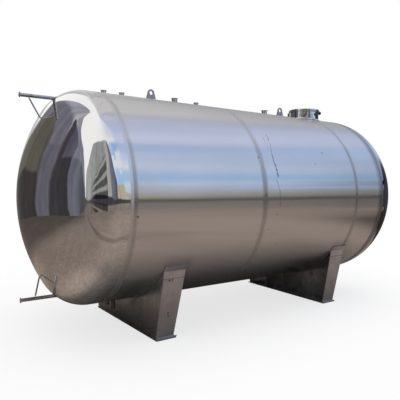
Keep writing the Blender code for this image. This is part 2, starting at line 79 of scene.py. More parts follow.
COURSES = ("shell_course_1", "shell_course_2", "shell_course_3")
MIDDLE_COURSE = corners("shell_course_2")
RADIUS = float(MIDDLE_COURSE[1][2] - MIDDLE_COURSE[0][2]) / 2
AXIS_Z = float(MIDDLE_COURSE[1][2] + MIDDLE_COURSE[0][2]) / 2
SEAMS = [float(corners(node)[1][0]) for node in ("head_left", *COURSES)]
GAP = 0.0003                    # clearance that the frame leaves between pieces
HINGE = frame["joints"][0]      # the manway lid's hinge
TO_KNOB = np.array((-HINGE["axis"][1], HINGE["axis"][0], 0.0))
ACROSS = -np.array(HINGE["axis"])
MANWAY_X = middle_x("manway_neck")
ALONG, SIDEWAYS, UP = np.eye(3)

TURN = 2 * math.pi

# Sizes that the frame's boxes don't give
LUG_TOP_RADIUS = 0.040
LUG_EYE_RADIUS = 0.020
BRACE_BEND = 0.014              # radius of the bend in a brace rod
KNOB_STEM_AT = 0.2141           # from the manway's axis to the knob's stem
KNOB_BALL_AT = 0.2241           # and to the near side of its ball
KNOB_END_AT = 0.264             # and to its far side
STEM_RADIUS = 0.006             # of the knob's stem
BEAD_ROUND_TUBE = 0.001         # from a tube's wall to the middle of its weld bead
BEAD_RIPPLE = 0.14              # share by which a long bead swells and shrinks
PLATE_JOINT = 0.615             # height of the joint line on the saddles' end plates

# Camera, from the outline and the seams in the photograph
CAMERA_AT = (-3.4313, -4.3465, 1.5421)
CAMERA_YAW = math.radians(35.67)        # from +Y towards +X
CAMERA_PITCH = math.radians(-2.616)
CAMERA_ROLL = math.radians(0.713)
FOCAL_SHARE = 452.0 / 400.0             # focal length over the picture's width
SENSOR_WIDTH = 36.0


# Sizes and colours that a user may change

def length(name, description, default):
    return bpy.props.FloatProperty(name=name, description=description, default=default,
                                   min=0.0, unit="LENGTH", precision=4)


def share(name, description, default):
    return bpy.props.FloatProperty(name=name, description=description, default=default,
                                   min=0.0, max=1.0, subtype="FACTOR")


def colour(name, description, default):
    return bpy.props.FloatVectorProperty(name=name, description=description, size=3,
                                         default=default, min=0.0, soft_max=1.0,
                                         subtype="COLOR")


class TankSizes(bpy.types.PropertyGroup):
    """Sizes that the frame's boxes don't give."""
    wall: length("Sheet thickness", "Thickness of the shell and the heads", 0.005)
    crown: length("Crown radius", "Radius of the middle of a dished head", 1.680)
    knuckle: length("Knuckle radius", "Radius of a head's rounding at its rim", 0.335)
    ground: length("Ground strip", "Strip of a head beside its weld, not polished", 0.030)
    tube_wall: length("Tube wall", "Wall of the short necks on top and underneath", 0.002)
    lip: length("Ferrule lip", "Thickness of a ferrule's flange", 0.006)
    neck_radius: length("Manway neck radius", "Outside radius of the manway neck", 0.200)
    neck_wall: length("Manway neck wall", "Wall of the manway neck", 0.004)
    neck_flare: length("Manway flare", "Radius of the flared foot of the manway", 0.022)
    lid_skin: length("Lid thickness", "Sheet thickness of the manway lid", 0.003)
    lid_flat: length("Lid dome radius", "Inside this radius the lid is domed", 0.150)
    lid_dome: length("Lid dome height", "Rise of the lid's dome over its flat rim", 0.018)
    gauge_radius: length("Gauge pipe radius", "Outside radius of a gauge pipe", 0.017)
    gauge_wall: length("Gauge pipe wall", "Wall of a gauge pipe", 0.0025)
    brace_radius: length("Brace radius", "Radius of a gauge pipe's brace rod", 0.0075)
    pad_thick: length("Wear pad thickness", "Plate between a saddle and the shell", 0.008)
    bead: length("Weld bead", "Radius of a fillet weld bead", 0.0045)
    soft_edge: length("Broken edge", "Width of the broken edge of a plate", 0.0015)


class TankFinish(bpy.types.PropertyGroup):
    """Colours and polish of the metals."""
    mirror: colour("Mirror steel", "Polished heads and manway", (0.70, 0.70, 0.70))
    brushed: colour("Brushed steel", "Rolled shell courses", (0.68, 0.68, 0.685))
    satin: colour("Satin steel", "Ferrules, pipes and lugs", (0.53, 0.53, 0.545))
    plate: colour("Mill plate", "Saddle plates", (0.63, 0.63, 0.645))
    stain: colour("Stain", "Rust and dirt that has run down", (0.16, 0.085, 0.045))
    dirt: colour("Dirt", "Dark marks on the shell", (0.055, 0.055, 0.065))
    knob: colour("Knob", "Dull plastic of the knob", (0.018, 0.018, 0.020))
    mirror_blur: share("Mirror roughness", "Roughness of the polished heads", 0.03)
    brushed_blur: share("Brushed roughness", "Roughness of the brushed shell", 0.215)
    brushed_pull: share("Brushed pull", "How far the brushing draws out a reflection", 1.0)


class TankStudio(bpy.types.PropertyGroup):
    """Light and floor round the tank."""
    floor: colour("Floor", "Pale floor", (0.93, 0.915, 0.89))
    floor_mirrored: colour("Floor tone", "Floor as the steel mirrors it", (0.45, 0.355, 0.295))
    backdrop: colour("Backdrop", "Colour behind the tank", (1.0, 1.0, 1.0))
    key: bpy.props.FloatProperty(name="Top light", description="Power of the soft top light",
                                 default=300.0, min=0.0, unit="POWER")


def sizes():
    return bpy.context.scene.tank_sizes


def finish():
    return bpy.context.scene.tank_finish


# Meshes from arrays

def lattice(rows, columns, wrap_rows=False, wrap_columns=False):
    """Quads between neighbouring points of a grid, each as four point numbers."""
    i = np.arange(rows if wrap_rows else rows - 1)[:, None]
    j = np.arange(columns if wrap_columns else columns - 1)[None, :]
    down, right = (i + 1) % rows, (j + 1) % columns
    quads = [i * columns + j, i * columns + right, down * columns + right, down * columns + j]
    return np.stack([q.ravel() for q in np.broadcast_arrays(*quads)], axis=1)


def weld(points, quads):
    """Points that coincide become one; returns the points kept, the quads, and which
    of the old points each new one is."""
    keys = np.round(points * 1e6).astype(np.int64)
    _, first, index = np.unique(keys, axis=0, return_index=True, return_inverse=True)
    return points[first], index.reshape(-1)[quads], first


def split_quads(quads):
    """Whole quads, and the triangles left where two neighbouring corners are one."""
    same = quads == np.roll(quads, -1, axis=1)
    pinched = same.sum(axis=1) == 1
    start = same[pinched].argmax(axis=1) + 1
    pick = (start[:, None] + np.arange(3)) % 4
    return quads[~same.any(axis=1)], np.take_along_axis(quads[pinched], pick, axis=1)


def volume(points, faces):
    """Signed volume inside faces of three or four corners."""
    p = points[faces]
    halves = [(p[:, 0], p[:, k], p[:, k + 1]) for k in range(1, faces.shape[1] - 1)]
    return sum(np.einsum("ij,ij->i", a, np.cross(b, c)).sum() for a, b, c in halves) / 6


def closed_mesh(name, points, quads, smooth=35.0):
    """Mesh of a closed surface, its faces turned outwards, sharp past an angle."""
    quads, triangles = split_quads(quads)
    if volume(points, quads) + volume(points, triangles) < 0:
        quads, triangles = quads[:, ::-1], triangles[:, ::-1]
    mesh = bpy.data.meshes.new(name)
    mesh.from_pydata(points.tolist(), [], quads.tolist() + triangles.tolist())
    mesh.shade_smooth()
    mesh.set_sharp_from_angle(angle=math.radians(smooth))
    return mesh


def piece(name, mesh, material, nodes, body="tank"):
    """Object of a finished mesh that rides on a body and stands for frame nodes."""
    mesh.materials.clear()
    mesh.materials.append(finish_of(material))
    obj = bpy.data.objects.new(name, mesh)
    bpy.context.scene.collection.objects.link(obj)
    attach(obj, body)
    if nodes:
        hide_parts(*nodes)
    return obj


def solid(name, shape, material, nodes, body="tank", smooth=50.0):
    """Piece whose surface is a shape of points and quads."""
    return piece(name, closed_mesh(name, *shape, smooth=smooth), material, nodes, body)


def lay_beads(name, beads):
    """Weld beads as one piece."""
    solid(name, joined(*beads), "weld_bead_steel", [], smooth=60)


def break_edges(obj, width, segments=2, angle=35):
    """Bevel on the edges of an object that are sharper than an angle."""
    bevel = obj.modifiers.new("broken_edge", "BEVEL")
    bevel.width = width
    bevel.segments = segments
    bevel.limit_method = "ANGLE"
    bevel.angle_limit = math.radians(angle)
    bevel.harden_normals = True


def eased(section, ease):
    """Closed section whose corners become short parabolas.

    Each corner c is replaced by (1-t)^2 a + 2t(1-t) c + t^2 b, where a and b lie on
    its two sides, at most ease from it and at most 0.45 of the side.
    """
    c = np.asarray(section, float)
    before, after = np.roll(c, 1, axis=0) - c, np.roll(c, -1, axis=0) - c
    reach = [np.minimum(ease / np.maximum(np.linalg.norm(s[:, :2], axis=1), 1e-9), 0.45)
             for s in (before, after)]
    on_axis = c[:, 0] == 0
    a = c + before * np.where(on_axis, 0, reach[0])[:, None]
    b = c + after * np.where(on_axis, 0, reach[1])[:, None]
    t = np.linspace(0, 1, 3)[None, :, None]
    curve = (1 - t) ** 2 * a[:, None] + 2 * t * (1 - t) * c[:, None] + t ** 2 * b[:, None]
    return curve.reshape(-1, c.shape[1])


def standing(section, sides, seat, place):
    """Closed section (r, h, follow) carried round a full turn.

    A point stands at h where follow is 0, and at h over the seat under it where
    follow is 1; place lays (across, across, height) out in space.
    """
    section = np.asarray(section, float)
    angle = np.arange(sides) * TURN / sides
    r, h, follow = (column[:, None] for column in section.T)
    a, b = r * np.cos(angle), r * np.sin(angle)
    points = place(a, b, h + follow * seat(a, b)).reshape(-1, 3)
    points, quads, _ = weld(points, lattice(len(section), sides, True, True))
    return points, quads


def turned(section, sides, place):
    """Surface of revolution of a closed (r, h) section."""
    section = np.asarray(section, float)
    flat = np.column_stack((section[:, :2], np.zeros(len(section))))
    return standing(flat, sides, lambda a, b: 0 * a, place)


def placed(origin, a_axis, b_axis, h_axis):
    """Placing that lays (a, b, h) along three directions from an origin."""
    def place(a, b, h):
        return (np.array(origin) + a[..., None] * a_axis + b[..., None] * b_axis
                + h[..., None] * h_axis)
    return place


def upright(x):
    """Placing for a shape that stands on the shell: height counts from the axis."""
    return placed((x, 0.0, AXIS_Z), ALONG, SIDEWAYS, UP)


def hanging(x):
    """Placing for a shape under the shell: height counts down from the axis."""
    return placed((x, 0.0, AXIS_Z), ALONG, SIDEWAYS, -UP)


def shell_seat(a, b):
    """Height of the round shell over its axis, b across the tank."""
    return np.sqrt(RADIUS ** 2 - b ** 2)


def swept(path, radius, sides, ripple=0.0):
    """Round bar along a path, with round ends; ripple swells it in steps.

    The radius is r (1 + ripple sin(2 pi s / 8 mm)) at length s, and over its last
    radius each end closes as a half ellipse.
    """
    path = np.asarray(path, float)
    tangent = np.gradient(path, axis=0)
    tangent /= np.linalg.norm(tangent, axis=1)[:, None]
    helper = np.where(np.abs(tangent[:, 2:]) > 0.9, (1.0, 0.0, 0.0), UP)
    side = np.cross(tangent, helper)
    side /= np.linalg.norm(side, axis=1)[:, None]
    over = np.cross(side, tangent)
    step = np.linalg.norm(np.diff(path, axis=0), axis=1)
    along = np.concatenate(([0.0], np.cumsum(step)))
    swell = radius * (1 + ripple * np.sin(TURN * along / 0.008))
    end = np.minimum(along, along[-1] - along)
    swell = swell * np.sqrt(np.clip(end / radius, 0, 1) * (2 - np.clip(end / radius, 0, 1)))
    angle = np.arange(sides) * TURN / sides
    ring = (np.cos(angle)[None, :, None] * side[:, None]
            + np.sin(angle)[None, :, None] * over[:, None])
    points = path[:, None] + swell[:, None, None] * ring
    points, quads, _ = weld(points.reshape(-1, 3), lattice(len(path), sides, False, True))
    return points, quads


def joined(*shapes):
    """Several shapes of points and quads as one."""
    starts = np.cumsum([0] + [len(points) for points, _ in shapes[:-1]])
    points = np.concatenate([points for points, _ in shapes])
    return points, np.concatenate([quads + s for s, (_, quads) in zip(starts, shapes)])


def spaced(points, step):
    """Points at even steps along a run of straight lines."""
    points = np.asarray(points, float)
    lengths = np.linalg.norm(np.diff(points, axis=0), axis=1)
    along = np.concatenate(([0.0], np.cumsum(lengths)))
    at = np.linspace(0, along[-1], max(4, int(along[-1] / step) + 1))
    return np.stack([np.interp(at, along, points[:, k]) for k in range(3)], axis=1)


def softened(name, nodes, material, body="tank", width=None):
    """Copy of frame nodes, its loose triangles merged and its edges broken."""
    bm = bmesh.new()
    for node in nodes:
        bm.from_mesh(frame["nodes"][node].data)
    bmesh.ops.remove_doubles(bm, verts=bm.verts, dist=1e-6)
    bmesh.ops.dissolve_limit(bm, angle_limit=math.radians(0.4), verts=bm.verts, edges=bm.edges)
    mesh = bpy.data.meshes.new(name)
    bm.to_mesh(mesh)
    bm.free()
    mesh.shade_smooth()
    mesh.set_sharp_from_angle(angle=math.radians(35))
    break_edges(piece(name, mesh, material, nodes, body), width or sizes().soft_edge)


# Shader trees

class Tree:
    """Short calls that add nodes to a shader tree and link them."""

    def __init__(self, tree):
        self.tree = tree

    def feed(self, socket, value):
        if isinstance(value, bpy.types.NodeSocket):
            self.tree.links.new(value, socket)
        else:
            socket.default_value = value

    def fill(self, node, values):
        for key, value in values.items():
            self.feed(node.inputs[key], value)
        return node

    def add(self, kind, values=None, **settings):
        node = self.tree.nodes.new(kind)
        for key, value in settings.items():
            setattr(node, key, value)
        return self.fill(node, values or {})

    def group(self, name, values):
        """Outputs of a shader group."""
        return self.add("ShaderNodeGroup", values, node_tree=bpy.data.node_groups[name]).outputs

    def math(self, operation, *terms):
        return self.add("ShaderNodeMath", dict(enumerate(terms)), operation=operation).outputs[0]

    def chain(self, operation, terms):
        """One operation over its terms, from the first to the last."""
        result, *others = terms
        for term in others:
            result = self.math(operation, result, term)
        return result

    def plus(self, *terms):
        return self.chain("ADD", terms)

    def minus(self, a, b):
        return self.math("SUBTRACT", a, b)

    def times(self, *terms):
        return self.chain("MULTIPLY", terms)

    def over(self, a, b):
        return self.math("DIVIDE", a, b)

    def most(self, *terms):
        return self.chain("MAXIMUM", terms)

    def least(self, *terms):
        return self.chain("MINIMUM", terms)

    def off(self, value, centre):
        """Distance of a value from a centre."""
        return self.math("ABSOLUTE", self.minus(value, centre))

    def vectors(self, operation, *terms):
        """Operation on vectors; its outputs are Vector and Value."""
        return self.add("ShaderNodeVectorMath", dict(enumerate(terms)),
                        operation=operation).outputs

    def scaled(self, vector, by):
        return self.vectors("MULTIPLY", vector, by)["Vector"]

    def xyz(self, vector):
        return self.add("ShaderNodeSeparateXYZ", {"Vector": vector}).outputs

    def vector(self, x, y=0.0):
        return self.add("ShaderNodeCombineXYZ", {"X": x, "Y": y}).outputs[0]

    def step(self, value, low, high, to_low=0.0, to_high=1.0):
        """Smooth step of value from low to high."""
        return self.add("ShaderNodeMapRange", {"Value": value, "From Min": low,
                        "From Max": high, "To Min": to_low, "To Max": to_high},
                        interpolation_type="SMOOTHSTEP").outputs["Result"]

    def mix(self, factor, a, b):
        """Mix of two colours."""
        node = self.add("ShaderNodeMix", {0: factor, 6: a, 7: b}, data_type="RGBA")
        return node.outputs[2]

    def blend(self, factor, a, b):
        """Mix of two numbers."""
        return self.add("ShaderNodeMix", {0: factor, 2: a, 3: b}, data_type="FLOAT").outputs[0]

    def ramp(self, value, stops):
        """Colour that changes with value, by stops (place, colour)."""
        node = self.add("ShaderNodeValToRGB", {"Fac": value})
        elements = node.color_ramp.elements
        for number, (at, tint) in enumerate(stops):
            element = elements[number] if number < 2 else elements.new(at)
            element.position = at
            element.color = rgba(tint)
        return node.outputs["Color"]

    def round_azimuth(self, azimuth, stops):
        """Colour that changes with azimuth, by stops (degrees from -180, colour)."""
        turn = self.over(self.plus(azimuth, 180.0), 360.0)
        return self.ramp(turn, [((at + 180.0) / 360.0, tint) for at, tint in stops])

    def noise(self, vector, scale, detail=2.0, roughness=0.5):
        values = {"Vector": vector, "Scale": scale, "Detail": detail, "Roughness": roughness}
        return self.add("ShaderNodeTexNoise", values).outputs["Fac"]


def rgba(values):
    return (*values, 1.0)


def shaded(tint, share_kept):
    """A colour times a share, with its alpha."""
    return rgba([part * share_kept for part in tint])


def new_group(name, inputs, outputs):
    """Empty shader group, as its tree, its inputs and its outputs.

    An input has its default, or None for a vector; an output has its kind.
    """
    group = bpy.data.node_groups.new(name, "ShaderNodeTree")
    for label, default in inputs.items():
        kind = "NodeSocketVector" if default is None else "NodeSocketFloat"
        socket = group.interface.new_socket(label, in_out="INPUT", socket_type=kind)
        if default is not None:
            socket.default_value = default
    for label, kind in outputs.items():
        group.interface.new_socket(label, in_out="OUTPUT", socket_type="NodeSocket" + kind)
    tree = Tree(group)
    return tree, tree.add("NodeGroupInput").outputs, tree.add("NodeGroupOutput").inputs


def make_groups():
    """Shader groups that the materials share."""
    # Place on the shell: along X, angle round it (0 faces -Y, quarter turn is the top)
    t, i, o = new_group("Shell Place", {"Vector": None},
                        {"Along": "Float", "Angle": "Float", "Round": "Vector"})
    xyz = t.xyz(i["Vector"])
    angle = t.math("ARCTAN2", t.minus(xyz["Z"], AXIS_Z), t.times(xyz["Y"], -1.0))
    t.feed(o["Along"], xyz["X"])
    t.feed(o["Angle"], angle)
    t.feed(o["Round"], t.vector(xyz["X"], t.times(angle, RADIUS)))

    # Band of one width about a place: 1 inside, 0 outside
    t, i, o = new_group("Band", {"Value": 0.0, "Centre": 0.0, "Half Width": 0.03,
                                 "Softness": 0.005}, {"Mask": "Float"})
    t.feed(o["Mask"], t.step(t.off(i["Value"], i["Centre"]),
                             t.minus(i["Half Width"], i["Softness"]),
                             t.plus(i["Half Width"], i["Softness"]), 1.0, 0.0))

    # Brushed lines that run round the shell
    t, i, o = new_group("Brushed Lines", {"Place": None, "Fineness": 260.0, "Length": 0.9},
                        {"Lines": "Float"})
    drawn = t.scaled(i["Place"], t.vector(i["Fineness"], t.over(1.0, i["Length"])))
    t.feed(o["Lines"], t.noise(drawn, 1.0, 3.0, 0.65))

    # One round mark with a ragged edge
    t, i, o = new_group("Spot", {"Place": None, "Centre": None, "Radius": 0.01},
                        {"Mask": "Float"})
    apart = t.vectors("DISTANCE", i["Place"], i["Centre"])["Value"]
    ragged = t.times(apart, t.plus(t.noise(i["Place"], 90.0), 0.5))
    t.feed(o["Mask"], t.step(ragged, t.times(i["Radius"], 0.55), i["Radius"], 1.0, 0.0))

    # Straight run of dirt down the shell from top to foot, ragged and broken
    t, i, o = new_group("Run", {"Place": None, "Top": None, "Foot": None, "Width": 0.008},
                        {"Mask": "Float"})
    here, top, foot = t.xyz(i["Place"]), t.xyz(i["Top"]), t.xyz(i["Foot"])
    fallen = t.over(t.minus(top["Y"], here["Y"]), t.minus(top["Y"], foot["Y"]))
    within = t.least(t.most(fallen, 0.0), 1.0)
    centre = t.plus(top["X"], t.times(within, t.minus(foot["X"], top["X"])))
    only_down = t.vector(top["X"], here["Y"])
    wander = t.times(t.minus(t.noise(only_down, 22.0), 0.5), 0.018)
    width = t.times(i["Width"], t.step(t.noise(only_down, 31.0, 3.0), 0.3, 0.7, 0.25, 1.5))
    line = t.step(t.off(t.minus(here["X"], centre), wander), t.times(width, 0.3), width, 1.0, 0.0)
    t.feed(o["Mask"], t.times(line, t.step(fallen, -0.04, 0.02),
                              t.step(fallen, 0.98, 1.04, 1.0, 0.0)))

    # Slow waves that a rolled or pressed sheet keeps, as a normal
    t, i, o = new_group("Sheet Waves", {"Vector": None, "Size": 2.0, "Depth": 0.004,
                                        "Fine": 0.0, "Fine Height": 0.5}, {"Normal": "Vector"})
    slow = t.noise(i["Vector"], i["Size"], 1.5, 0.4)
    waves = t.add("ShaderNodeBump", {"Height": t.plus(slow, t.times(i["Fine Height"], i["Fine"])),
                                     "Distance": i["Depth"], "Strength": 1.0})
    t.feed(o["Normal"], waves.outputs["Normal"])

    # Dirt and rust that gathers in patches and runs down
    t, i, o = new_group("Weathering", {"Vector": None, "Size": 6.0, "Amount": 0.4},
                        {"Patches": "Float", "Streaks": "Float"})
    edge = t.minus(0.78, t.times(i["Amount"], 0.35))
    patches = t.noise(i["Vector"], i["Size"], 6.0, 0.62)
    t.feed(o["Patches"], t.step(patches, edge, t.plus(edge, 0.12)))
    tall = t.scaled(i["Vector"], (1.0, 1.0, 0.07))
    streaks = t.noise(tall, t.times(i["Size"], 4.0), 4.0, 0.6)
    t.feed(o["Streaks"], t.step(streaks, edge, t.plus(edge, 0.14)))


# Materials

SPOTS = (  # along X from the left polish edge, angle in degrees, radius
    (0.067, -6.5, 0.012), (1.476, 24.0, 0.013), (1.511, 2.9, 0.012), (1.676, -8.5, 0.008),
    (1.593, -17.2, 0.009), (1.766, -27.0, 0.009), (1.541, -35.4, 0.007), (1.676, -39.3, 0.008),
    (1.727, -45.5, 0.010), (2.512, 29.7, 0.012), (2.321, 21.4, 0.009),
)
RUNS = (  # stops of a run: along X from the left polish edge, arc over the middle; width
    (((1.738, 0.767), (1.715, 0.594), (1.681, 0.473)), 0.0045),
    (((1.681, 0.480), (1.678, 0.402), (1.695, 0.318), (1.696, 0.225)), 0.011),
    (((1.659, 0.721), (1.659, 0.557)), 0.003),
    (((1.669, 0.204), (1.708, 0.087), (1.711, -0.060)), 0.0045),
)


PLATE_MARKS = (  # dark spots and scuffs on the front end plates: place, radius
    ((-1.1965, -0.735, 0.271), 0.010), ((-1.192, -0.728, 0.240), 0.010),
    ((1.206, -0.735, 0.272), 0.010), ((1.211, -0.729, 0.245), 0.010),
    ((-1.227, -0.8055, 0.600), 0.011), ((-1.194, -0.8055, 0.600), 0.010),
)


def new_material(name):
    """Material with nothing but its shader, as tree, shader and coordinates."""
    material = bpy.data.materials.new(name)
    material.use_nodes = True
    t = Tree(material.node_tree)
    shader = material.node_tree.nodes["Principled BSDF"]
    return t, shader, t.add("ShaderNodeTexCoord").outputs["Object"]


def band_mask(t, value, *bands):
    """Strongest of several bands (centre, half width, softness)."""
    return t.most(*[t.group("Band", {"Value": value, "Centre": centre, "Half Width": half,
                                     "Softness": soft})["Mask"] for centre, half, soft in bands])


def darkened_rim(t, along, tone, strength):
    """Tone with a painted reflection: the dark that the shell mirrors beside the right head's
    weld.
    """
    rim = t.times(band_mask(t, along, (SEAMS[3], 0.060, 0.030)), strength)
    return t.mix(rim, tone, rgba((0.13, 0.12, 0.15)))


def sheet_waves(t, where, size, depth):
    return t.group("Sheet Waves", {"Vector": where, "Size": size, "Depth": depth})["Normal"]


def mirror_steel(name):
    """Polished heads: a clear mirror with slow waves, a ground band at the weld and a painted
    reflection beside the right head's weld.
    """
    t, shader, where = new_material(name)
    look = finish()
    place = t.group("Shell Place", {"Vector": where})
    strip = sizes().ground
    band = band_mask(t, place["Along"], (SEAMS[0] + strip * 0.1, strip * 1.1, 0.012),
                     (SEAMS[3] - strip * 0.1, strip * 1.1, 0.012))
    cloud = t.noise(where, 3.0, 4.0)
    tone = t.mix(t.step(cloud, 0.35, 0.75), rgba(look.mirror), shaded(look.mirror, 0.97))
    tone = t.mix(band, tone, shaded(look.mirror, 0.90))
    blur = t.step(cloud, 0.3, 0.8, look.mirror_blur * 0.7, look.mirror_blur * 1.5)
    lines = t.group("Brushed Lines", {"Place": place["Round"], "Fineness": 500.0,
                                      "Length": 0.05})["Lines"]
    # the base colour carries the painted reflection beside the right head's weld
    t.fill(shader, {"Base Color": darkened_rim(t, place["Along"], tone, 0.6),
                    "Roughness": t.blend(band, blur, t.step(lines, 0.3, 0.7, 0.30, 0.40)),
                    "Metallic": 1.0, "Normal": sheet_waves(t, where, 2.4, 0.007)})


def shell_marks(t, round_place):
    """Dark spots and runs on the shell, as a mask."""
    left = SEAMS[0] - sizes().ground
    marks = [t.group("Spot", {"Place": round_place, "Radius": radius,
                              "Centre": (left + x, math.radians(degrees) * RADIUS, 0.0)})["Mask"]
             for x, degrees, radius in SPOTS]
    for stops, width in RUNS:
        for (x0, y0), (x1, y1) in zip(stops, stops[1:]):
            marks.append(t.group("Run", {"Place": round_place, "Top": (left + x0, y0, 0.0),
                                         "Foot": (left + x1, y1, 0.0), "Width": width})["Mask"])
    return t.most(*marks)


def brushed_steel(name):
    """Rolled courses brushed round the shell, with ground welds, runs and dirt spots, a painted
    reflection beside the right head's weld and a darker band low over each saddle pad.

    The tangent runs along X, so that a reflection is drawn out along the tank.
    """
    t, shader, where = new_material(name)
    look = finish()
    place = t.group("Shell Place", {"Vector": where})
    along, round_place = place["Along"], place["Round"]
    lines = t.group("Brushed Lines", {"Place": round_place, "Fineness": 420.0,
                                      "Length": 0.5})["Lines"]
    broad = t.noise(round_place, 1.3, 3.0)
    ground = band_mask(t, along, (SEAMS[0], 0.034, 0.016), (SEAMS[1] + 0.002, 0.032, 0.018),
                       (SEAMS[3], 0.030, 0.020))
    thin = band_mask(t, along, (SEAMS[2], 0.024, 0.020))
    line = band_mask(t, along, (SEAMS[0], 0.002, 0.002), (SEAMS[1], 0.003, 0.003),
                     (SEAMS[2], 0.003, 0.003))
    marks = shell_marks(t, round_place)
    over_pads = band_mask(t, along, *[(middle_x(f"saddle_{word}_pad"), 0.15, 0.06)
                                      for word in ("left", "right")])
    drift = t.plus(place["Angle"], t.times(t.minus(lines, 0.5), 0.16))

    tone = t.mix(t.step(lines, 0.25, 0.75), shaded(look.brushed, 0.985),
                 shaded(look.brushed, 1.01))
    tone = t.mix(t.step(broad, 0.35, 0.7), tone, shaded(look.brushed, 0.98))
    tone = t.mix(ground, tone, shaded(look.brushed, 0.86))
    tone = t.mix(t.times(thin, 0.55), tone, rgba((0.34, 0.35, 0.37)))
    tone = t.mix(t.times(line, 0.14), tone, rgba((0.20, 0.20, 0.21)))
    tone = t.mix(t.times(marks, 0.70), tone, rgba(look.dirt))
    # painted reflection beside the right head's weld, stronger low on the shell
    tone = darkened_rim(t, along, tone, t.step(place["Angle"], -0.10, 0.25, 0.62, 0.30))
    # darker band on the shell, low down over each saddle pad
    burnt = t.times(over_pads, t.step(drift, -0.60, -0.46, 0.34, 0.0))
    tone = t.mix(burnt, tone, rgba((0.21, 0.165, 0.17)))

    blur = t.step(broad, 0.3, 0.7, look.brushed_blur * 0.94, look.brushed_blur * 1.06)
    tangent = t.add("ShaderNodeTangent", direction_type="UV_MAP", uv_map="along")
    fine = t.noise(t.scaled(round_place, (0.55, 24.0, 1.0)), 1.0)
    waves = t.group("Sheet Waves", {"Vector": where, "Size": 0.8, "Depth": 0.006,
                                    "Fine": fine, "Fine Height": 0.026})
    t.fill(shader, {"Base Color": tone, "Metallic": 1.0, "Normal": waves["Normal"],
                    "Roughness": t.blend(t.most(ground, thin, marks), blur, 0.37),
                    "Anisotropic": look.brushed_pull, "Tangent": tangent.outputs["Tangent"]})


def fitting_steel(name, tint, low, high, size):
    """Satin or polished fittings: fine cloudy polish and a little dirt in patches."""
    t, shader, where = new_material(name)
    wear = t.group("Weathering", {"Vector": where, "Size": size, "Amount": 0.25})
    cloud = t.noise(where, size * 3, 4.0)
    tone = t.mix(t.step(cloud, 0.3, 0.7), rgba(tint), shaded(tint, 0.88))
    tone = t.mix(t.times(wear["Patches"], 0.35), tone, shaded(tint, 0.5))
    t.fill(shader, {"Base Color": tone, "Roughness": t.step(cloud, 0.3, 0.75, low, high),
                    "Metallic": 1.0, "Normal": sheet_waves(t, where, 9.0, 0.0008)})


def gauge_pipe_steel(name):
    """Gauge pipe: clean satin tube, burnt a little where its brace is welded on."""
    t, shader, where = new_material(name)
    tint = finish().satin
    weld_at = float(corners("gauge_brace_top")[0][0]) + 0.01
    near = band_mask(t, t.xyz(where)["X"], (weld_at, 0.03, 0.025))
    cloud = t.noise(where, 30.0, 4.0)
    tone = t.mix(t.step(cloud, 0.3, 0.7), rgba(tint), shaded(tint, 0.90))
    heat = t.times(near, t.step(cloud, 0.35, 0.6, 0.15, 0.6))
    t.fill(shader, {"Base Color": t.mix(heat, tone, rgba((0.30, 0.17, 0.10))),
                    "Roughness": t.step(cloud, 0.3, 0.75, 0.24, 0.34), "Metallic": 1.0})


def marked_end(t, where, height, tone):
    """Tone of an end plate: painted reflection and shade, paler at the foot and darker above;
    joint line, the spots and scuffs under it.
    """
    # painted reflection and shade by height: pale and bluish at the foot, darker from 0.32 up
    shadow = t.mix(t.step(height, 0.10, 0.32), rgba((0.88, 0.89, 0.93)), rgba((0.33, 0.345, 0.40)))
    tone = t.mix(0.24, tone, shadow)
    over_joint = t.step(t.minus(height, PLATE_JOINT), 0.0, 0.01, 0.0, 0.16)
    tone = t.mix(over_joint, tone, rgba((0.80, 0.78, 0.82)))
    crease = t.step(t.off(height, PLATE_JOINT), 0.002, 0.006, 0.45, 0.0)
    spots = [t.group("Spot", {"Place": where, "Centre": centre, "Radius": radius})["Mask"]
             for centre, radius in PLATE_MARKS]
    return t.mix(t.most(crease, *spots), tone, rgba((0.07, 0.06, 0.065)))


def plate_steel(name, tint, stain_share, rim=None, marked=False):
    """Saddle plates: mill finish with rolling streaks, rust runs and dirt at the foot.

    With a height for its rim, the top edge carries a painted shadow under the weld bead.
    """
    t, shader, where = new_material(name)
    wear = t.group("Weathering", {"Vector": where, "Size": 5.0, "Amount": 0.55})
    cloud = t.noise(where, 7.0, 5.0, 0.6)
    height = t.xyz(where)["Z"]
    tone = t.mix(t.step(cloud, 0.3, 0.72), rgba(tint), shaded(tint, 0.80))
    rust = t.times(t.most(wear["Streaks"], wear["Patches"]), stain_share)
    tone = t.mix(rust, tone, rgba(finish().stain))
    foot = t.times(t.step(height, 0.01, 0.07, 1.0, 0.0), t.step(cloud, 0.35, 0.65, 0.1, 0.5))
    tone = t.mix(foot, tone, shaded(tint, 0.45))
    if rim:
        # painted shadow along the top edge, under the weld bead
        burnt = t.step(height, rim - 0.0060, rim - 0.0045, 0.0, 0.75)
        tone = t.mix(burnt, tone, rgba((0.10, 0.085, 0.085)))
    # end plates also get painted shade by height, besides the joint line and the marks
    if marked:
        tone = marked_end(t, where, height, tone)
    t.fill(shader, {"Base Color": tone, "Roughness": t.step(cloud, 0.3, 0.75, 0.26, 0.42),
                    "Metallic": t.minus(1.0, t.times(rust, 0.6)),
                    "Normal": sheet_waves(t, where, 3.0, 0.003)})


def bead_steel(name):
    """Weld beads: pickled metal, dull and a little dark in patches."""
    t, shader, where = new_material(name)
    tint = finish().satin
    cloud = t.noise(where, 60.0, 4.0)
    tone = t.mix(t.step(cloud, 0.35, 0.7), shaded(tint, 0.50), shaded(tint, 0.28))
    t.fill(shader, {"Base Color": tone, "Roughness": t.step(cloud, 0.3, 0.7, 0.38, 0.55),
                    "Metallic": 1.0})


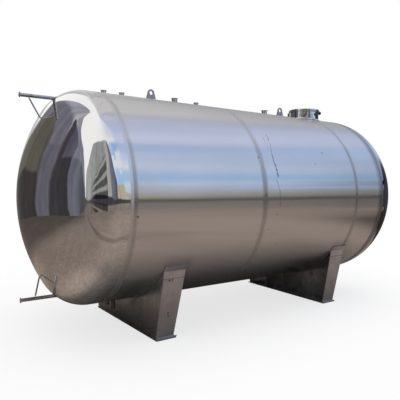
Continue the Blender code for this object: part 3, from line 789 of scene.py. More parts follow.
def knob_plastic(name):
    """Dull black moulded plastic, scuffed lighter where hands touch it."""
    t, shader, where = new_material(name)
    tint = finish().knob
    grain = t.noise(where, 400.0, 3.0)
    scuffs = t.times(t.step(t.noise(where, 45.0, 5.0, 0.7), 0.55, 0.75), 0.3)
    bump = t.add("ShaderNodeBump", {"Height": grain, "Distance": 0.0002, "Strength": 0.6})
    t.fill(shader, {"Base Color": t.mix(scuffs, rgba(tint), shaded(tint, 4)),
                    "Roughness": t.step(grain, 0.3, 0.7, 0.30, 0.42),
                    "Normal": bump.outputs["Normal"]})


def finish_of(name):
    """Material by name, made the first time that it is asked for."""
    look = finish()
    makers = {
        "mirror_polished_steel": (mirror_steel,),
        "brushed_shell_steel": (brushed_steel,),
        "polished_fitting_steel": (fitting_steel, (0.61, 0.61, 0.62), 0.05, 0.10, 5.0),
        "satin_fitting_steel": (fitting_steel, look.satin, 0.22, 0.32, 8.0),
        # outlets under the tank: steel tint darkened to near black as painted shade
        "outlet_steel": (fitting_steel, (0.15, 0.145, 0.135), 0.28, 0.42, 9.0),
        "lug_steel": (fitting_steel, (0.36, 0.34, 0.345), 0.24, 0.36, 14.0),
        "gauge_pipe_steel": (gauge_pipe_steel,),
        "saddle_plate_steel": (plate_steel, [part * 0.86 for part in look.plate], 0.45),
        "saddle_end_steel": (plate_steel, look.plate, 0.30, None, True),
        "wear_pad_steel": (plate_steel, (0.66, 0.645, 0.67), 0.25,
                           float(corners("saddle_left_pad")[1][2])),
        "weld_bead_steel": (bead_steel,),
        "knob_moulded_plastic": (knob_plastic,),
    }
    if name not in bpy.data.materials:
        maker, *values = makers[name]
        maker(name, *values)
    return bpy.data.materials[name]


# Shell and heads

def head_profile(inset, steps=(40, 56)):
    """Points (r, bulge) of a dished head from its middle to its rim.

    The crown is an arc of the crown radius about a point on the axis, the knuckle an
    arc about (RADIUS - knuckle, 0); they touch where both make the same angle with
    the axis, whose sine is (RADIUS - knuckle) / (crown - knuckle).
    """
    crown, knuckle = sizes().crown, sizes().knuckle
    across = RADIUS - knuckle
    touch = math.asin(across / (crown - knuckle))
    t = np.linspace(0, touch, steps[0])[:-1]
    middle = np.stack(((crown - inset) * np.sin(t),
                       head_depth() - crown + (crown - inset) * np.cos(t)), 1)
    t = np.linspace(touch, math.pi / 2, steps[1])
    rim = np.stack((across + (knuckle - inset) * np.sin(t), (knuckle - inset) * np.cos(t)), 1)
    return np.vstack((middle, rim))


def head_depth():
    """Bulge of a head beyond its straight flange, at the axis."""
    crown, knuckle = sizes().crown, sizes().knuckle
    return crown - math.sqrt((crown - knuckle) ** 2 - (RADIUS - knuckle) ** 2)


def head_bulge(r):
    """Bulge of a head beyond its straight flange, at a distance r from the axis."""
    profile = head_profile(0.0, (400, 400))
    return np.interp(r, profile[:, 0], profile[:, 1])


def left_base():
    """X where the left head starts to bulge."""
    return float(corners("head_left")[0][0]) + head_depth()


class TANK_OT_heads(bpy.types.Operator):
    """Make the two dished heads as smooth mirror surfaces"""
    bl_idname = "tank.heads"
    bl_label = "Dished heads"

    def execute(self, context):
        wall = sizes().wall
        right_base = float(corners("head_right")[1][0]) - head_depth()
        for name, side, seam, base in (("head_left", -1, SEAMS[0], left_base()),
                                       ("head_right", 1, SEAMS[3], right_base)):
            rim = side * (seam - base) + GAP / 2
            section = np.vstack((head_profile(0.0), [(RADIUS, rim), (RADIUS - wall, rim)],
                                 head_profile(wall)[::-1]))
            place = placed((base, 0.0, AXIS_Z), SIDEWAYS, UP, side * ALONG)
            solid(name + "_polished", turned(section, 192, place), "mirror_polished_steel",
                  [name], smooth=35)
        return {"FINISHED"}


def hole_patch(low, high, steps, centre, radius):
    """Grid from a round hole out to the rectangle of its patch.

    low, high and centre are (along, angle). Row t of the patch is the mix
    (1 - t) of the hole's edge and t of the rectangle's edge in the same direction.
    """
    nu, nv = steps
    u = np.linspace(low[0], high[0], nu + 1)
    v = np.linspace(low[1], high[1], nv + 1)
    edge = np.concatenate((np.stack((u[:-1], np.full(nu, low[1])), 1),
                           np.stack((np.full(nv, high[0]), v[:-1]), 1),
                           np.stack((u[:0:-1], np.full(nu, high[1])), 1),
                           np.stack((np.full(nv, low[0]), v[:0:-1]), 1)))
    heading = np.arctan2((edge[:, 1] - centre[1]) * RADIUS, edge[:, 0] - centre[0])
    hole = np.stack((centre[0] + radius * np.cos(heading),
                     centre[1] + np.arcsin(radius * np.sin(heading) / RADIUS)), 1)
    t = np.linspace(0, 1, 7)[:, None, None]
    grid = (1 - t) * hole + t * edge
    return grid.reshape(-1, 2), lattice(7, len(edge), wrap_columns=True)


def course_shape(left, right, holes, wall):
    """Rolled course with round holes: (along, angle) blocks, some of them hole patches.

    A point at (x, v) lies at radius (sin v, -cos v) from the axis, v = 0 at the top
    and half a turn at the bottom. The inner face is the same grid one wall further in,
    and walls join the two along every open edge.
    """
    def patch_reach(radius):
        """Half the width of the patch round a hole."""
        return radius * 1.35 + 0.006

    u_edges = {left, right}
    for x, _, radius in holes:
        u_edges |= {x - patch_reach(radius), x + patch_reach(radius)}
    u_edges = sorted(u_edges)
    half = math.asin(patch_reach(max([radius for _, _, radius in holes] + [0.02])) / RADIUS)
    v_edges = (-half, half, math.pi - half, math.pi + half, TURN - half)
    v_steps = (16, 60, 16, 60)
    blocks = []
    for u0, u1 in zip(u_edges, u_edges[1:]):
        nu = 16 if any(u0 < x < u1 for x, _, _ in holes) else max(1, round((u1 - u0) / 0.06))
        for v0, v1, nv in zip(v_edges, v_edges[1:], v_steps):
            inside = [(x, v, r) for x, v, r in holes if u0 < x < u1 and v0 < v < v1]
            if inside:
                x, v, r = inside[0]
                grid, quads = hole_patch((u0, v0), (u1, v1), (nu, nv), (x, v), r)
            else:
                u, v = np.meshgrid(np.linspace(u0, u1, nu + 1), np.linspace(v0, v1, nv + 1),
                                   indexing="ij")
                grid = np.stack((u.ravel(), v.ravel()), 1)
                quads = lattice(nu + 1, nv + 1)
            corner = grid[quads[0]]
            turn = np.roll(corner, -1, axis=0)
            if (corner[:, 0] * turn[:, 1] - turn[:, 0] * corner[:, 1]).sum() < 0:
                quads = quads[:, ::-1]
            blocks.append((grid, quads))
    grid, quads = joined(*blocks)

    def on_radius(uv, radius):
        return np.stack((uv[:, 0], radius * np.sin(uv[:, 1]),
                         AXIS_Z + radius * np.cos(uv[:, 1])), 1)
    points, quads, first = weld(on_radius(grid, RADIUS), quads)
    grid = grid[first]
    edges = np.concatenate([np.stack((quads[:, k], quads[:, (k + 1) % 4]), 1) for k in range(4)])
    keys = np.sort(edges, axis=1) @ np.array((len(points), 1))
    _, index, count = np.unique(keys, return_inverse=True, return_counts=True)
    open_edges = edges[count[index.reshape(-1)] == 1]
    n = len(points)
    a, b = open_edges[:, 0], open_edges[:, 1]
    sides = np.stack((b, a, a + n, b + n), 1)
    points = np.concatenate((points, on_radius(grid, RADIUS - wall)))
    return points, np.concatenate((quads, quads[:, ::-1] + n, sides)), np.tile(grid, (2, 1))


class TANK_OT_shell(bpy.types.Operator):
    """Roll the three shell courses, with their holes"""
    bl_idname = "tank.shell"
    bl_label = "Shell courses"

    def execute(self, context):
        size = sizes()
        holes = [(MANWAY_X, 0.0, size.neck_radius - size.neck_wall)]
        for necks, angle in ((NOZZLE_NECKS, 0.0), (OUTLET_NECKS, math.pi)):
            holes += [(middle_x(name), angle, neck - size.tube_wall) for name, neck in necks]
        for name, left, right in zip(COURSES, SEAMS, SEAMS[1:]):
            mine = [hole for hole in holes if left < hole[0] < right]
            points, quads, grid = course_shape(left + GAP / 2, right - GAP / 2, mine, size.wall)
            mesh = closed_mesh(name + "_brushed", points, quads)
            layer = mesh.uv_layers.new(name="along")
            corner = np.zeros(len(mesh.loops), np.int32)
            mesh.loops.foreach_get("vertex_index", corner)
            layer.data.foreach_set("uv", (grid * (1.0, RADIUS))[corner].astype(np.float32).ravel())
            piece(name + "_brushed", mesh, "brushed_shell_steel", [name])
        return {"FINISHED"}


# Fittings on top and underneath

NOZZLE_NECKS = (("nozzle_top_1", 0.0255), ("nozzle_top_2", 0.0255), ("nozzle_top_3", 0.0315),
                ("nozzle_top_4", 0.0255), ("nozzle_top_5", 0.0350))
OUTLET_NECKS = (("drain_pipe", 0.0225), ("drain_small", 0.0160))


def ferrule_section(neck, flange, face, wall, lip):
    """Section of a tube with a clamp flange: its back slopes, its face has a groove."""
    slope = (flange - neck) * 0.36
    groove = (flange + neck) / 2
    return [(neck, GAP, 1), (neck, face - lip - slope, 0), (flange, face - lip, 0),
            (flange, face, 0), (groove + 0.002, face, 0), (groove + 0.001, face - 0.0015, 0),
            (groove - 0.001, face - 0.0015, 0), (groove - 0.002, face, 0),
            (neck - wall, face, 0), (neck - wall, GAP, 1)]


def round_bead(radius, seat, place, bead=0.004, around=160):
    """Rippled weld bead round the foot of a tube, on its seat.

    The bead's own radius is bead (1 + 0.12 sin(40 a)) at angle a round the tube.
    """
    angle = np.arange(around) * TURN / around
    a, b = radius * np.cos(angle), radius * np.sin(angle)
    turn = np.arange(8) * TURN / 8
    swell = bead * (1 + 0.12 * np.sin(angle * 40))[:, None]
    r = radius + swell * np.cos(turn)
    h = seat(a, b)[:, None] + swell * np.sin(turn)
    points = place(r * np.cos(angle)[:, None], r * np.sin(angle)[:, None], h).reshape(-1, 3)
    return points, lattice(around, 8, True, True)


class TANK_OT_nozzles(bpy.types.Operator):
    """Make the ferrules along the top with their weld beads"""
    bl_idname = "tank.nozzles"
    bl_label = "Top nozzles"

    def execute(self, context):
        size = sizes()
        beads = []
        for name, neck in NOZZLE_NECKS:
            low, high = corners(name)
            place = upright(middle_x(name))
            section = ferrule_section(neck, float(high[1] - low[1]) / 2, float(high[2]) - AXIS_Z,
                                      size.tube_wall, size.lip)
            solid(name + "_ferrule", standing(eased(section, ease=0.0012), 48, shell_seat, place),
                  "polished_fitting_steel", [name])
            beads.append(round_bead(neck + BEAD_ROUND_TUBE, shell_seat, place))
        lay_beads("nozzle_weld_beads", beads)
        return {"FINISHED"}


class TANK_OT_outlets(bpy.types.Operator):
    """Make the outlet pipe and the small stub under the left end"""
    bl_idname = "tank.outlets"
    bl_label = "Outlets"

    def execute(self, context):
        wall = sizes().tube_wall
        beads = []
        for name, neck in OUTLET_NECKS:
            low, high = corners(name)
            face, place = AXIS_Z - float(low[2]), hanging(middle_x(name))
            section = [(neck, GAP, 1), (neck, face, 0), (neck - wall, face, 0),
                       (neck - wall, GAP, 1)]
            if name == "drain_small":
                section = ferrule_section(neck, float(high[1] - low[1]) / 2, face, wall,
                                          sizes().lip)
            # the outlets' near-black tint is painted shade under the tank
            solid(name + "_tube", standing(eased(section, ease=0.0008), 40, shell_seat, place),
                  "outlet_steel", [name])
            beads.append(round_bead(neck + BEAD_ROUND_TUBE, shell_seat, place))
        lay_beads("outlet_weld_beads", beads)
        return {"FINISHED"}


# Lifting lugs

def curved_plate(x0, x1, angle0, angle1, r0, r1, steps):
    """Plate bent round the tank: a rectangle's section carried along an arc.

    Angles count from the top; the section's four corners are (x0|x1, r0|r1).
    """
    angle = np.linspace(angle0, angle1, steps)[:, None]
    section = eased(np.array(((x0, r0, 0), (x1, r0, 0), (x1, r1, 0), (x0, r1, 0))), ease=0.0012)
    x, r = section[:, 0], section[:, 1]
    rings = np.stack((x + 0 * angle, r * np.sin(angle), AXIS_Z + r * np.cos(angle)), -1)
    ends = np.repeat(rings.mean(axis=1)[[0, -1], None], len(x), axis=1)
    points = np.concatenate((ends[:1], rings, ends[1:])).reshape(-1, 3)
    points, quads, _ = weld(points, lattice(steps + 2, len(x), wrap_columns=True))
    return points, quads


def lug_outline(heading, half_foot, drop, top):
    """Distance from the eye to a lug's edge in each heading, 0 straight up.

    Within the shoulder the edge is the round top; past it the nearest of the
    straight sides, which touch the round top, and the foot.
    """
    slope = math.atan2(half_foot, drop)
    shoulder = math.pi - slope - math.acos(top / math.hypot(half_foot, drop))
    h = np.abs(heading)
    side = top / np.maximum(np.cos(h - shoulder), 1e-6)
    foot = drop / np.maximum(-np.cos(h), 1e-6)
    return np.where(h <= shoulder, top, np.where(foot > 0, np.minimum(side, foot), side))


class TANK_OT_lugs(bpy.types.Operator):
    """Make the lifting lugs, their pads and their weld beads"""
    bl_idname = "tank.lugs"
    bl_label = "Lifting lugs"

    def execute(self, context):
        beads = []
        for number in "12":
            name, pad = "lifting_lug_" + number, "lug_pad_" + number
            low, high = corners(name)
            x, half_foot = middle_x(name), float(high[0] - low[0]) / 2
            eye = float(high[2]) - LUG_TOP_RADIUS
            drop = eye - float(low[2])
            foot_corner = math.pi - math.atan2(half_foot, drop)
            heading = np.concatenate((np.linspace(-foot_corner, foot_corner, 61)[:-1],
                                      np.linspace(foot_corner, TURN - foot_corner, 13)[:-1]))
            wrapped = (heading + math.pi) % TURN - math.pi
            edge = lug_outline(wrapped, half_foot, drop, LUG_TOP_RADIUS)
            rows = [np.stack((x + r * np.sin(heading), np.full(len(heading), y),
                              eye + r * np.cos(heading)), 1)
                    for y, r in ((low[1], LUG_EYE_RADIUS), (low[1], edge), (high[1], edge),
                                 (high[1], LUG_EYE_RADIUS))]
            shape = (np.concatenate(rows), lattice(4, len(heading), True, True))
            lug = solid(name + "_plate", shape, "lug_steel", [name], smooth=35)
            break_edges(lug, width=0.0018, segments=3, angle=50)

            pad_low, pad_high = corners(pad)
            half = math.asin(float(pad_high[1]) / RADIUS)
            shape = curved_plate(pad_low[0], pad_high[0], -half, half, RADIUS + GAP,
                                 float(pad_high[2]) - AXIS_Z, 17)
            solid(pad + "_plate", shape, "satin_fitting_steel", [pad], smooth=35)
            for y in (low[1], high[1]):
                run = [(x - half_foot, y, float(low[2])), (x + half_foot, y, float(low[2]))]
                beads.append(swept(spaced(run, 0.0014), sizes().bead, 8, BEAD_RIPPLE))
        lay_beads("lug_weld_beads", beads)
        return {"FINISHED"}


# Gauge pipes

BRACES = (  # node, pipe; from the ferrule's face to the rod and to its bend; foot, side
    ("gauge_brace_top", "gauge_pipe_top", 0.083, 0.187, 0.757, 1),
    ("gauge_brace_bottom", "gauge_pipe_bottom", 0.135, 0.177, 0.742, -1),
)


def brace_route(pipe_x, corner_x, end_x, foot, under_pipe):
    """Route of a brace above the axis: straight from the pipe, a round bend, a foot."""
    heading = math.atan2(foot - under_pipe, corner_x - pipe_x)
    along = np.array((math.cos(heading), math.sin(heading)))
    left = np.array((-along[1], along[0]))
    start = np.array((pipe_x, under_pipe))
    bend_start = np.array((corner_x, foot)) - along * BRACE_BEND * math.tan(-heading / 2)
    centre = bend_start + left * BRACE_BEND
    turn = np.linspace(heading, 0, 12)
    bend = centre + BRACE_BEND * np.stack((np.sin(turn), -np.cos(turn)), 1)
    end = np.array((end_x, foot))
    straight = start + (bend_start - start) * np.linspace(0, 1, 10)[:-1, None]
    return np.vstack((straight, bend, [(bend[-1] + end) / 2, end]))


class TANK_OT_gauges(bpy.types.Operator):
    """Make the gauge pipes at the left head, their braces and weld beads"""
    bl_idname = "tank.gauges"
    bl_label = "Gauge pipes"

    def execute(self, context):
        size = sizes()
        base = left_base()
        beads = []
        for brace, pipe, pipe_x, corner_x, foot, side in BRACES:
            low, high = corners(pipe)
            height = float(low[2] + high[2]) / 2 - AXIS_Z
            face = base - float(low[0])

            def seat(a, b, height=height):
                return head_bulge(np.hypot(a, height + b))
            place = placed((base, 0.0, AXIS_Z + height), SIDEWAYS, UP, -ALONG)
            section = ferrule_section(size.gauge_radius, float(high[1]), face, size.gauge_wall,
                                      size.lip)
            solid(pipe + "_tube", standing(eased(section, ease=0.001), 40, seat, place),
                  "gauge_pipe_steel", [pipe])
            beads.append(round_bead(size.gauge_radius + BEAD_ROUND_TUBE, seat, place, bead=0.0035))

            end_x = face - float(head_bulge(foot - size.brace_radius)) + 0.004
            route = brace_route(pipe_x, corner_x, end_x, foot,
                                abs(height) - size.gauge_radius + 0.004)
            path = np.stack((float(low[0]) + route[:, 0], 0 * route[:, 0],
                             AXIS_Z + side * route[:, 1]), 1)
            solid(brace + "_rod", swept(path, size.brace_radius, 20), "satin_fitting_steel",
                  [brace])
        lay_beads("gauge_weld_beads", beads)
        return {"FINISHED"}


# Manway

class TANK_OT_manway(bpy.types.Operator):
    """Make the manway neck, its hinge post and pin"""
    bl_idname = "tank.manway"
    bl_label = "Manway neck"

    def execute(self, context):
        size = sizes()
        top = float(corners("manway_neck")[1][2]) - AXIS_Z
        r, flare, bore = size.neck_radius, size.neck_flare, size.neck_radius - size.neck_wall
        section = [(r + flare, GAP, 1)]
        section += [(r + flare * (1 - math.sin(t)), GAP + 0.002 + flare * (1 - math.cos(t)), 1)
                    for t in np.linspace(0, math.pi / 2, 13)]
        section += [(r, top - 0.004, 0), (r - 0.001, top, 0), (bore, top, 0),
                    (bore, top - 0.004, 0), (bore, GAP, 1)]
        place = placed((MANWAY_X, 0.0, AXIS_Z), TO_KNOB, ACROSS, UP)

        def seat(a, b):
            return np.sqrt(RADIUS ** 2 - (a * TO_KNOB[1] + b * ACROSS[1]) ** 2)
        solid("manway_neck_polished", standing(section, 128, seat, place),
              "polished_fitting_steel", ["manway_neck"])
        lay_beads("manway_weld_bead", [round_bead(r + flare + BEAD_ROUND_TUBE, seat, place,
                                                  bead=0.003, around=640)])
        softened("manway_hinge_bracket", ["manway_hinge_post"], "polished_fitting_steel")
        softened("manway_hinge_pin_steel", ["manway_hinge_pin"], "satin_fitting_steel",
                 width=0.0006)
        return {"FINISHED"}


class TANK_OT_lid(bpy.types.Operator):
    """Make the manway lid and what swings with it"""
    bl_idname = "tank.lid"
    bl_label = "Manway lid"

    def execute(self, context):
        size = sizes()
        low, high = corners("manway_lid")
        radius, skin = float(high[0] - low[0]) / 2, size.lid_skin
        lower, peak = float(low[2]) - AXIS_Z, float(high[2]) - AXIS_Z
        rim = peak - size.lid_dome
        out = np.linspace(0, 1, 14)
        crown = np.stack((size.lid_flat * out, rim + size.lid_dome * (1 - out ** 2)), 1)
        # round shoulder, straight skirt with a shallow groove near its foot, then back inside
        skirt = [(radius - 0.012, rim), (radius - 0.004, rim - 0.001), (radius, rim - 0.006),
                 (radius, lower + 0.007), (radius - 0.0012, lower + 0.005),
                 (radius, lower + 0.003), (radius, lower), (radius - skin, lower),
                 (radius - skin, rim - skin - 0.0025)]
        section = np.vstack((crown, skirt, crown[::-1] - (0, skin)))
        place = placed((MANWAY_X, 0.0, AXIS_Z), TO_KNOB, ACROSS, UP)
        solid("manway_lid_polished", turned(section, 128, place), "polished_fitting_steel",
              ["manway_lid"], "lid", smooth=40)
        softened("manway_hinge_arm_steel", ["manway_hinge_arm"], "polished_fitting_steel",
                 "lid", width=0.001)
        softened("manway_latch_strap_steel", ["manway_latch_strap"], "satin_fitting_steel",
                 "lid", width=0.001)

        # the knob is turned about the line out of the manway
        low, high = corners("manway_knob")
        t = np.linspace(0, math.pi, 17)
        middle, half = (KNOB_BALL_AT + KNOB_END_AT) / 2, (KNOB_END_AT - KNOB_BALL_AT) / 2
        ball = np.stack((float(high[2] - low[2]) / 2 * np.sin(t) ** 0.7,
                         middle - half * np.cos(t)), 1)
        ball[0, 0], ball[-1, 0] = STEM_RADIUS, 0.0
        section = np.vstack(([(0, KNOB_STEM_AT), (STEM_RADIUS, KNOB_STEM_AT)], ball))
        place = placed((MANWAY_X, 0.0, (low[2] + high[2]) / 2), ACROSS, UP, TO_KNOB)
        solid("manway_knob_ball", turned(section, 40, place), "knob_moulded_plastic",
              ["manway_knob"], "lid")
        return {"FINISHED"}


# Saddles

def pad_angle(prefix):
    """Angle from the top, round the back, to the first edge of a saddle's wear pad."""
    half_width = float(corners(prefix + "pad")[1][1])
    return math.pi - math.asin(half_width / (RADIUS + sizes().pad_thick))


class TANK_OT_saddles(bpy.types.Operator):
    """Make the plates, ribs and wear pads of the two saddles"""
    bl_idname = "tank.saddles"
    bl_label = "Saddles"

    def execute(self, context):
        for prefix in ("saddle_left_", "saddle_right_"):
            for part in ("base", "web", "end_front", "end_back", "rib_1", "rib_2", "rib_3"):
                metal = "saddle_end_steel" if part.startswith("end") else "saddle_plate_steel"
                softened(prefix + part + "_plate", [prefix + part], metal)
            low, high = corners(prefix + "pad")
            start = pad_angle(prefix)
            shape = curved_plate(low[0], high[0], start, TURN - start, RADIUS + GAP,
                                 RADIUS + GAP + sizes().pad_thick, 97)
            solid(prefix + "wear_pad", shape, "wear_pad_steel", [prefix + "pad"], smooth=35)
        return {"FINISHED"}


class TANK_OT_welds(bpy.types.Operator):
    """Lay the fillet weld beads round the saddles"""
    bl_idname = "tank.welds"
    bl_label = "Saddle welds"

    def execute(self, context):
        for prefix in ("saddle_left_", "saddle_right_"):
            low, high = corners(prefix + "pad")
            start = pad_angle(prefix)
            angle = np.linspace(start, TURN - start, 1100)
            runs = [np.stack((np.full(len(angle), x), RADIUS * np.sin(angle),
                              AXIS_Z + RADIUS * np.cos(angle)), 1) for x in (low[0], high[0])]
            places = [(low[0], high[0], RADIUS * math.sin(turn), AXIS_Z + RADIUS * math.cos(turn))
                      for turn in (start, TURN - start)]
            base_top = float(corners(prefix + "base")[1][2])
            for end, side in (("end_front", -1), ("end_back", 1)):
                low, high = corners(prefix + end)
                places.append((low[0], high[0], foot_edge(prefix + end, side), base_top))
            runs += [spaced([(x0, y, z), (x1, y, z)], 0.002) for x0, x1, y, z in places]
            beads = [swept(run, sizes().bead, 6, BEAD_RIPPLE) for run in runs]
            lay_beads(prefix + "weld_beads", beads)
        return {"FINISHED"}


def foot_edge(node, side):
    """Outermost y of a leaning plate at its foot."""
    points = np.array([v.co for v in frame["nodes"][node].data.vertices])
    foot = points[points[:, 2] < points[:, 2].min() + 0.001]
    return float(foot[:, 1].min() if side < 0 else foot[:, 1].max())


# Studio: camera, sky of soft panels, floor and top light

SKY_BANDS = (  # height of a band in degrees, colour
    (0.0, (0.37, 0.345, 0.305)), (2.2, (0.39, 0.37, 0.335)), (4.2, (0.47, 0.50, 0.53)),
    (5.6, (0.50, 0.57, 0.68)), (7.5, (0.59, 0.74, 1.00)), (9.5, (0.61, 0.81, 1.18)),
    (11.3, (0.98, 1.18, 1.56)), (12.7, (0.60, 0.81, 1.09)), (13.9, (0.62, 0.86, 1.15)),
    (15.6, (0.45, 0.72, 1.05)), (18.0, (0.53, 0.75, 1.04)), (20.8, (0.66, 0.79, 1.07)),
    (24.0, (0.63, 0.77, 1.06)), (27.0, (0.59, 0.72, 1.00)), (30.0, (0.53, 0.67, 0.94)),
    (40.0, (0.54, 0.68, 0.95)), (45.5, (0.54, 0.64, 0.91)), (48.5, (0.69, 0.76, 1.00)),
    (56.0, (0.72, 0.78, 1.01)), (66.0, (0.60, 0.68, 0.93)), (78.0, (0.60, 0.65, 0.84)),
    (90.0, (0.66, 0.69, 0.80)),
)
LEFT_SKY_BANDS = (  # the same over the left end
    (0.0, (0.66, 0.72, 0.84)), (12.0, (0.70, 0.80, 0.98)), (19.0, (0.44, 0.66, 0.98)),
    (27.0, (0.50, 0.69, 0.98)), (33.0, (0.93, 0.95, 1.06)), (41.0, (0.88, 0.91, 1.04)),
    (46.0, (0.38, 0.56, 0.90)), (54.0, (0.42, 0.58, 0.90)), (61.0, (1.00, 1.00, 1.06)),
    (70.0, (0.80, 0.83, 0.96)), (90.0, (0.92, 0.92, 0.98)),
)
CARDS = (  # soft cards: blur, then stops (azimuth, top, colour), all in degrees
    # a tall pale card at the left, and a strip of one behind
    (1.0, (
        (-180, 12, (0.52, 0.52, 0.51)), (-175, 20, (0.56, 0.56, 0.55)),
        (-169, 35, (0.50, 0.50, 0.51)), (-164, 48, (0.43, 0.43, 0.47)),
        (-161, 58, (0.40, 0.40, 0.46)), (-155, 69, (0.40, 0.40, 0.47)),
        (-146, 75, (0.38, 0.38, 0.45)), (-131, 75, (0.40, 0.39, 0.46)),
        (-123, 71, (0.52, 0.51, 0.54)), (-117, 66, (0.42, 0.41, 0.47)),
        (-110, 52, (0.28, 0.28, 0.34)), (-103, 38, (0.25, 0.26, 0.32)),
        (-94, 30, (0.26, 0.27, 0.31)), (-91.5, 22, (0.32, 0.32, 0.34)),
        (-90, -12, (0.30, 0.30, 0.32)), (146, -12, (0.50, 0.50, 0.50)),
        (149, 42, (0.50, 0.50, 0.50)), (158, 56, (0.62, 0.62, 0.62)),
        (170, 44, (0.56, 0.56, 0.56)), (180, 12, (0.52, 0.52, 0.51)))),
    # a wide grey-green card ahead, a pale strip, a blue-grey side and a low warm card
    (1.0, (
        (-180, -12, (0.30, 0.30, 0.30)), (-91, -12, (0.30, 0.30, 0.30)),
        (-89, 4, (0.34, 0.34, 0.35)), (-86, 14, (0.44, 0.44, 0.44)),
        (-78, 25, (0.46, 0.46, 0.46)), (-71, 38, (0.40, 0.405, 0.40)),
        (-66, 46, (0.38, 0.39, 0.38)), (-50, 54, (0.38, 0.39, 0.375)),
        (-24.5, 59.5, (0.37, 0.375, 0.36)), (-23, 60, (0.50, 0.49, 0.48)),
        (-14.5, 60, (0.48, 0.47, 0.46)), (-13, 60, (0.17, 0.175, 0.225)),
        (-9, 57, (0.19, 0.20, 0.28)), (-4, 42, (0.16, 0.165, 0.23)),
        (0, 27, (0.135, 0.14, 0.18)), (3.5, 19, (0.13, 0.13, 0.16)),
        (4.5, 16, (0.58, 0.50, 0.39)), (25.5, 15.5, (0.62, 0.55, 0.44)),
        (27, 3, (0.45, 0.41, 0.36)), (47, 3, (0.40, 0.365, 0.32)),
        (53, 6, (0.38, 0.35, 0.31)), (58, 6, (0.33, 0.305, 0.27)),
        (61, 3, (0.10, 0.10, 0.12)), (113, 2, (0.10, 0.10, 0.12)),
        (145, 3, (0.30, 0.30, 0.31)), (180, 3, (0.30, 0.30, 0.31)))),
    # a dark hump with a blurred top beside the right end
    (6.0, (
        (-180, -20, (0.06, 0.06, 0.07)), (54, -20, (0.06, 0.06, 0.07)),
        (58, 4, (0.060, 0.058, 0.075)), (62, 14, (0.058, 0.055, 0.073)),
        (67, 20, (0.053, 0.050, 0.066)), (74, 23, (0.050, 0.048, 0.062)),
        (83, 22, (0.052, 0.050, 0.063)), (92, 18, (0.055, 0.052, 0.065)),
        (101, 12, (0.065, 0.062, 0.08)), (109, 5, (0.09, 0.09, 0.11)),
        (115, -6, (0.10, 0.10, 0.12)), (122, -20, (0.10, 0.10, 0.12)),
        (180, -20, (0.06, 0.06, 0.07)))),
    # a darker card in front of the tall one, its top blurred
    (5.0, (
        (-180, -12, (0.20, 0.20, 0.20)), (-176, 14, (0.20, 0.195, 0.20)),
        (-168, 38, (0.20, 0.195, 0.225)), (-150, 46, (0.185, 0.18, 0.22)),
        (-128, 44, (0.20, 0.195, 0.24)), (-124, -12, (0.20, 0.195, 0.24)),
        (180, -12, (0.20, 0.20, 0.20)))),
    # nearer cards at the left: an olive one, a lilac one, a dark gap, two grey ones
    (1.0, (
        (-180, 9, (0.17, 0.16, 0.14)), (-172, 18, (0.15, 0.14, 0.115)),
        (-162, 27, (0.135, 0.125, 0.10)), (-150, 28, (0.125, 0.115, 0.095)),
        (-141.5, 25, (0.12, 0.11, 0.10)), (-140.5, 21, (0.145, 0.143, 0.175)),
        (-127, 23, (0.16, 0.155, 0.19)), (-126, 47, (0.070, 0.058, 0.072)),
        (-120.5, 46, (0.068, 0.056, 0.068)), (-119.5, 43, (0.125, 0.12, 0.155)),
        (-110, 38, (0.12, 0.115, 0.155)), (-108.5, 20, (0.18, 0.18, 0.22)),
        (-99, 18, (0.17, 0.17, 0.21)), (-97, 12, (0.11, 0.11, 0.13)),
        (-92, 5, (0.11, 0.11, 0.13)), (-90, -12, (0.11, 0.11, 0.13)),
        (160, -12, (0.17, 0.16, 0.14)), (180, 9, (0.17, 0.16, 0.14)))),
    # low dark strip along the horizon
    (0.8, (
        (-180, 1, (0.10, 0.095, 0.09)), (-168, 6, (0.060, 0.055, 0.052)),
        (-143, 8, (0.055, 0.050, 0.048)), (-141.5, -12, (0.06, 0.06, 0.06)),
        (-126, -12, (0.06, 0.06, 0.06)), (-124.5, 17, (0.060, 0.055, 0.060)),
        (-109.5, 20, (0.055, 0.052, 0.056)), (-108, -12, (0.06, 0.06, 0.06)),
        (-98.5, -12, (0.10, 0.10, 0.10)), (-97, 2, (0.10, 0.10, 0.105)),
        (-84, -1, (0.12, 0.12, 0.12)), (-74, 0, (0.11, 0.11, 0.11)),
        (-60, 4, (0.065, 0.065, 0.075)), (-36, 5, (0.060, 0.060, 0.070)),
        (-14, 3, (0.07, 0.07, 0.08)), (-4, 0, (0.075, 0.07, 0.065)),
        (6, 1.5, (0.060, 0.06, 0.055)), (14, 1, (0.07, 0.07, 0.065)),
        (17, 0.6, (0.080, 0.072, 0.068)), (30, 0.8, (0.080, 0.072, 0.068)),
        (37, -0.5, (0.085, 0.08, 0.08)), (47, -0.6, (0.085, 0.08, 0.08)),
        (53, 0.9, (0.080, 0.078, 0.074)), (58, 1.0, (0.080, 0.078, 0.074)),
        (62, 3, (0.05, 0.05, 0.06)), (115, 1, (0.05, 0.05, 0.06)),
        (180, 1, (0.14, 0.13, 0.12)))),
    # pale foreground below the horizon
    (0.6, (
        (-180, -12, (0.10, 0.095, 0.09)), (-104, -12, (0.15, 0.14, 0.13)),
        (-92, -6, (0.20, 0.18, 0.165)), (-86, -3, (0.22, 0.195, 0.175)),
        (-62, -2, (0.25, 0.22, 0.20)), (-30, -4.5, (0.25, 0.22, 0.20)),
        (-14, -4, (0.25, 0.22, 0.20)), (14, -2.8, (0.27, 0.235, 0.215)),
        (57, -2.4, (0.29, 0.26, 0.24)), (62, -30, (0.20, 0.18, 0.17)),
        (110, -30, (0.20, 0.18, 0.17)), (118, -4, (0.14, 0.13, 0.125)),
        (180, -12, (0.10, 0.095, 0.09)))),
)


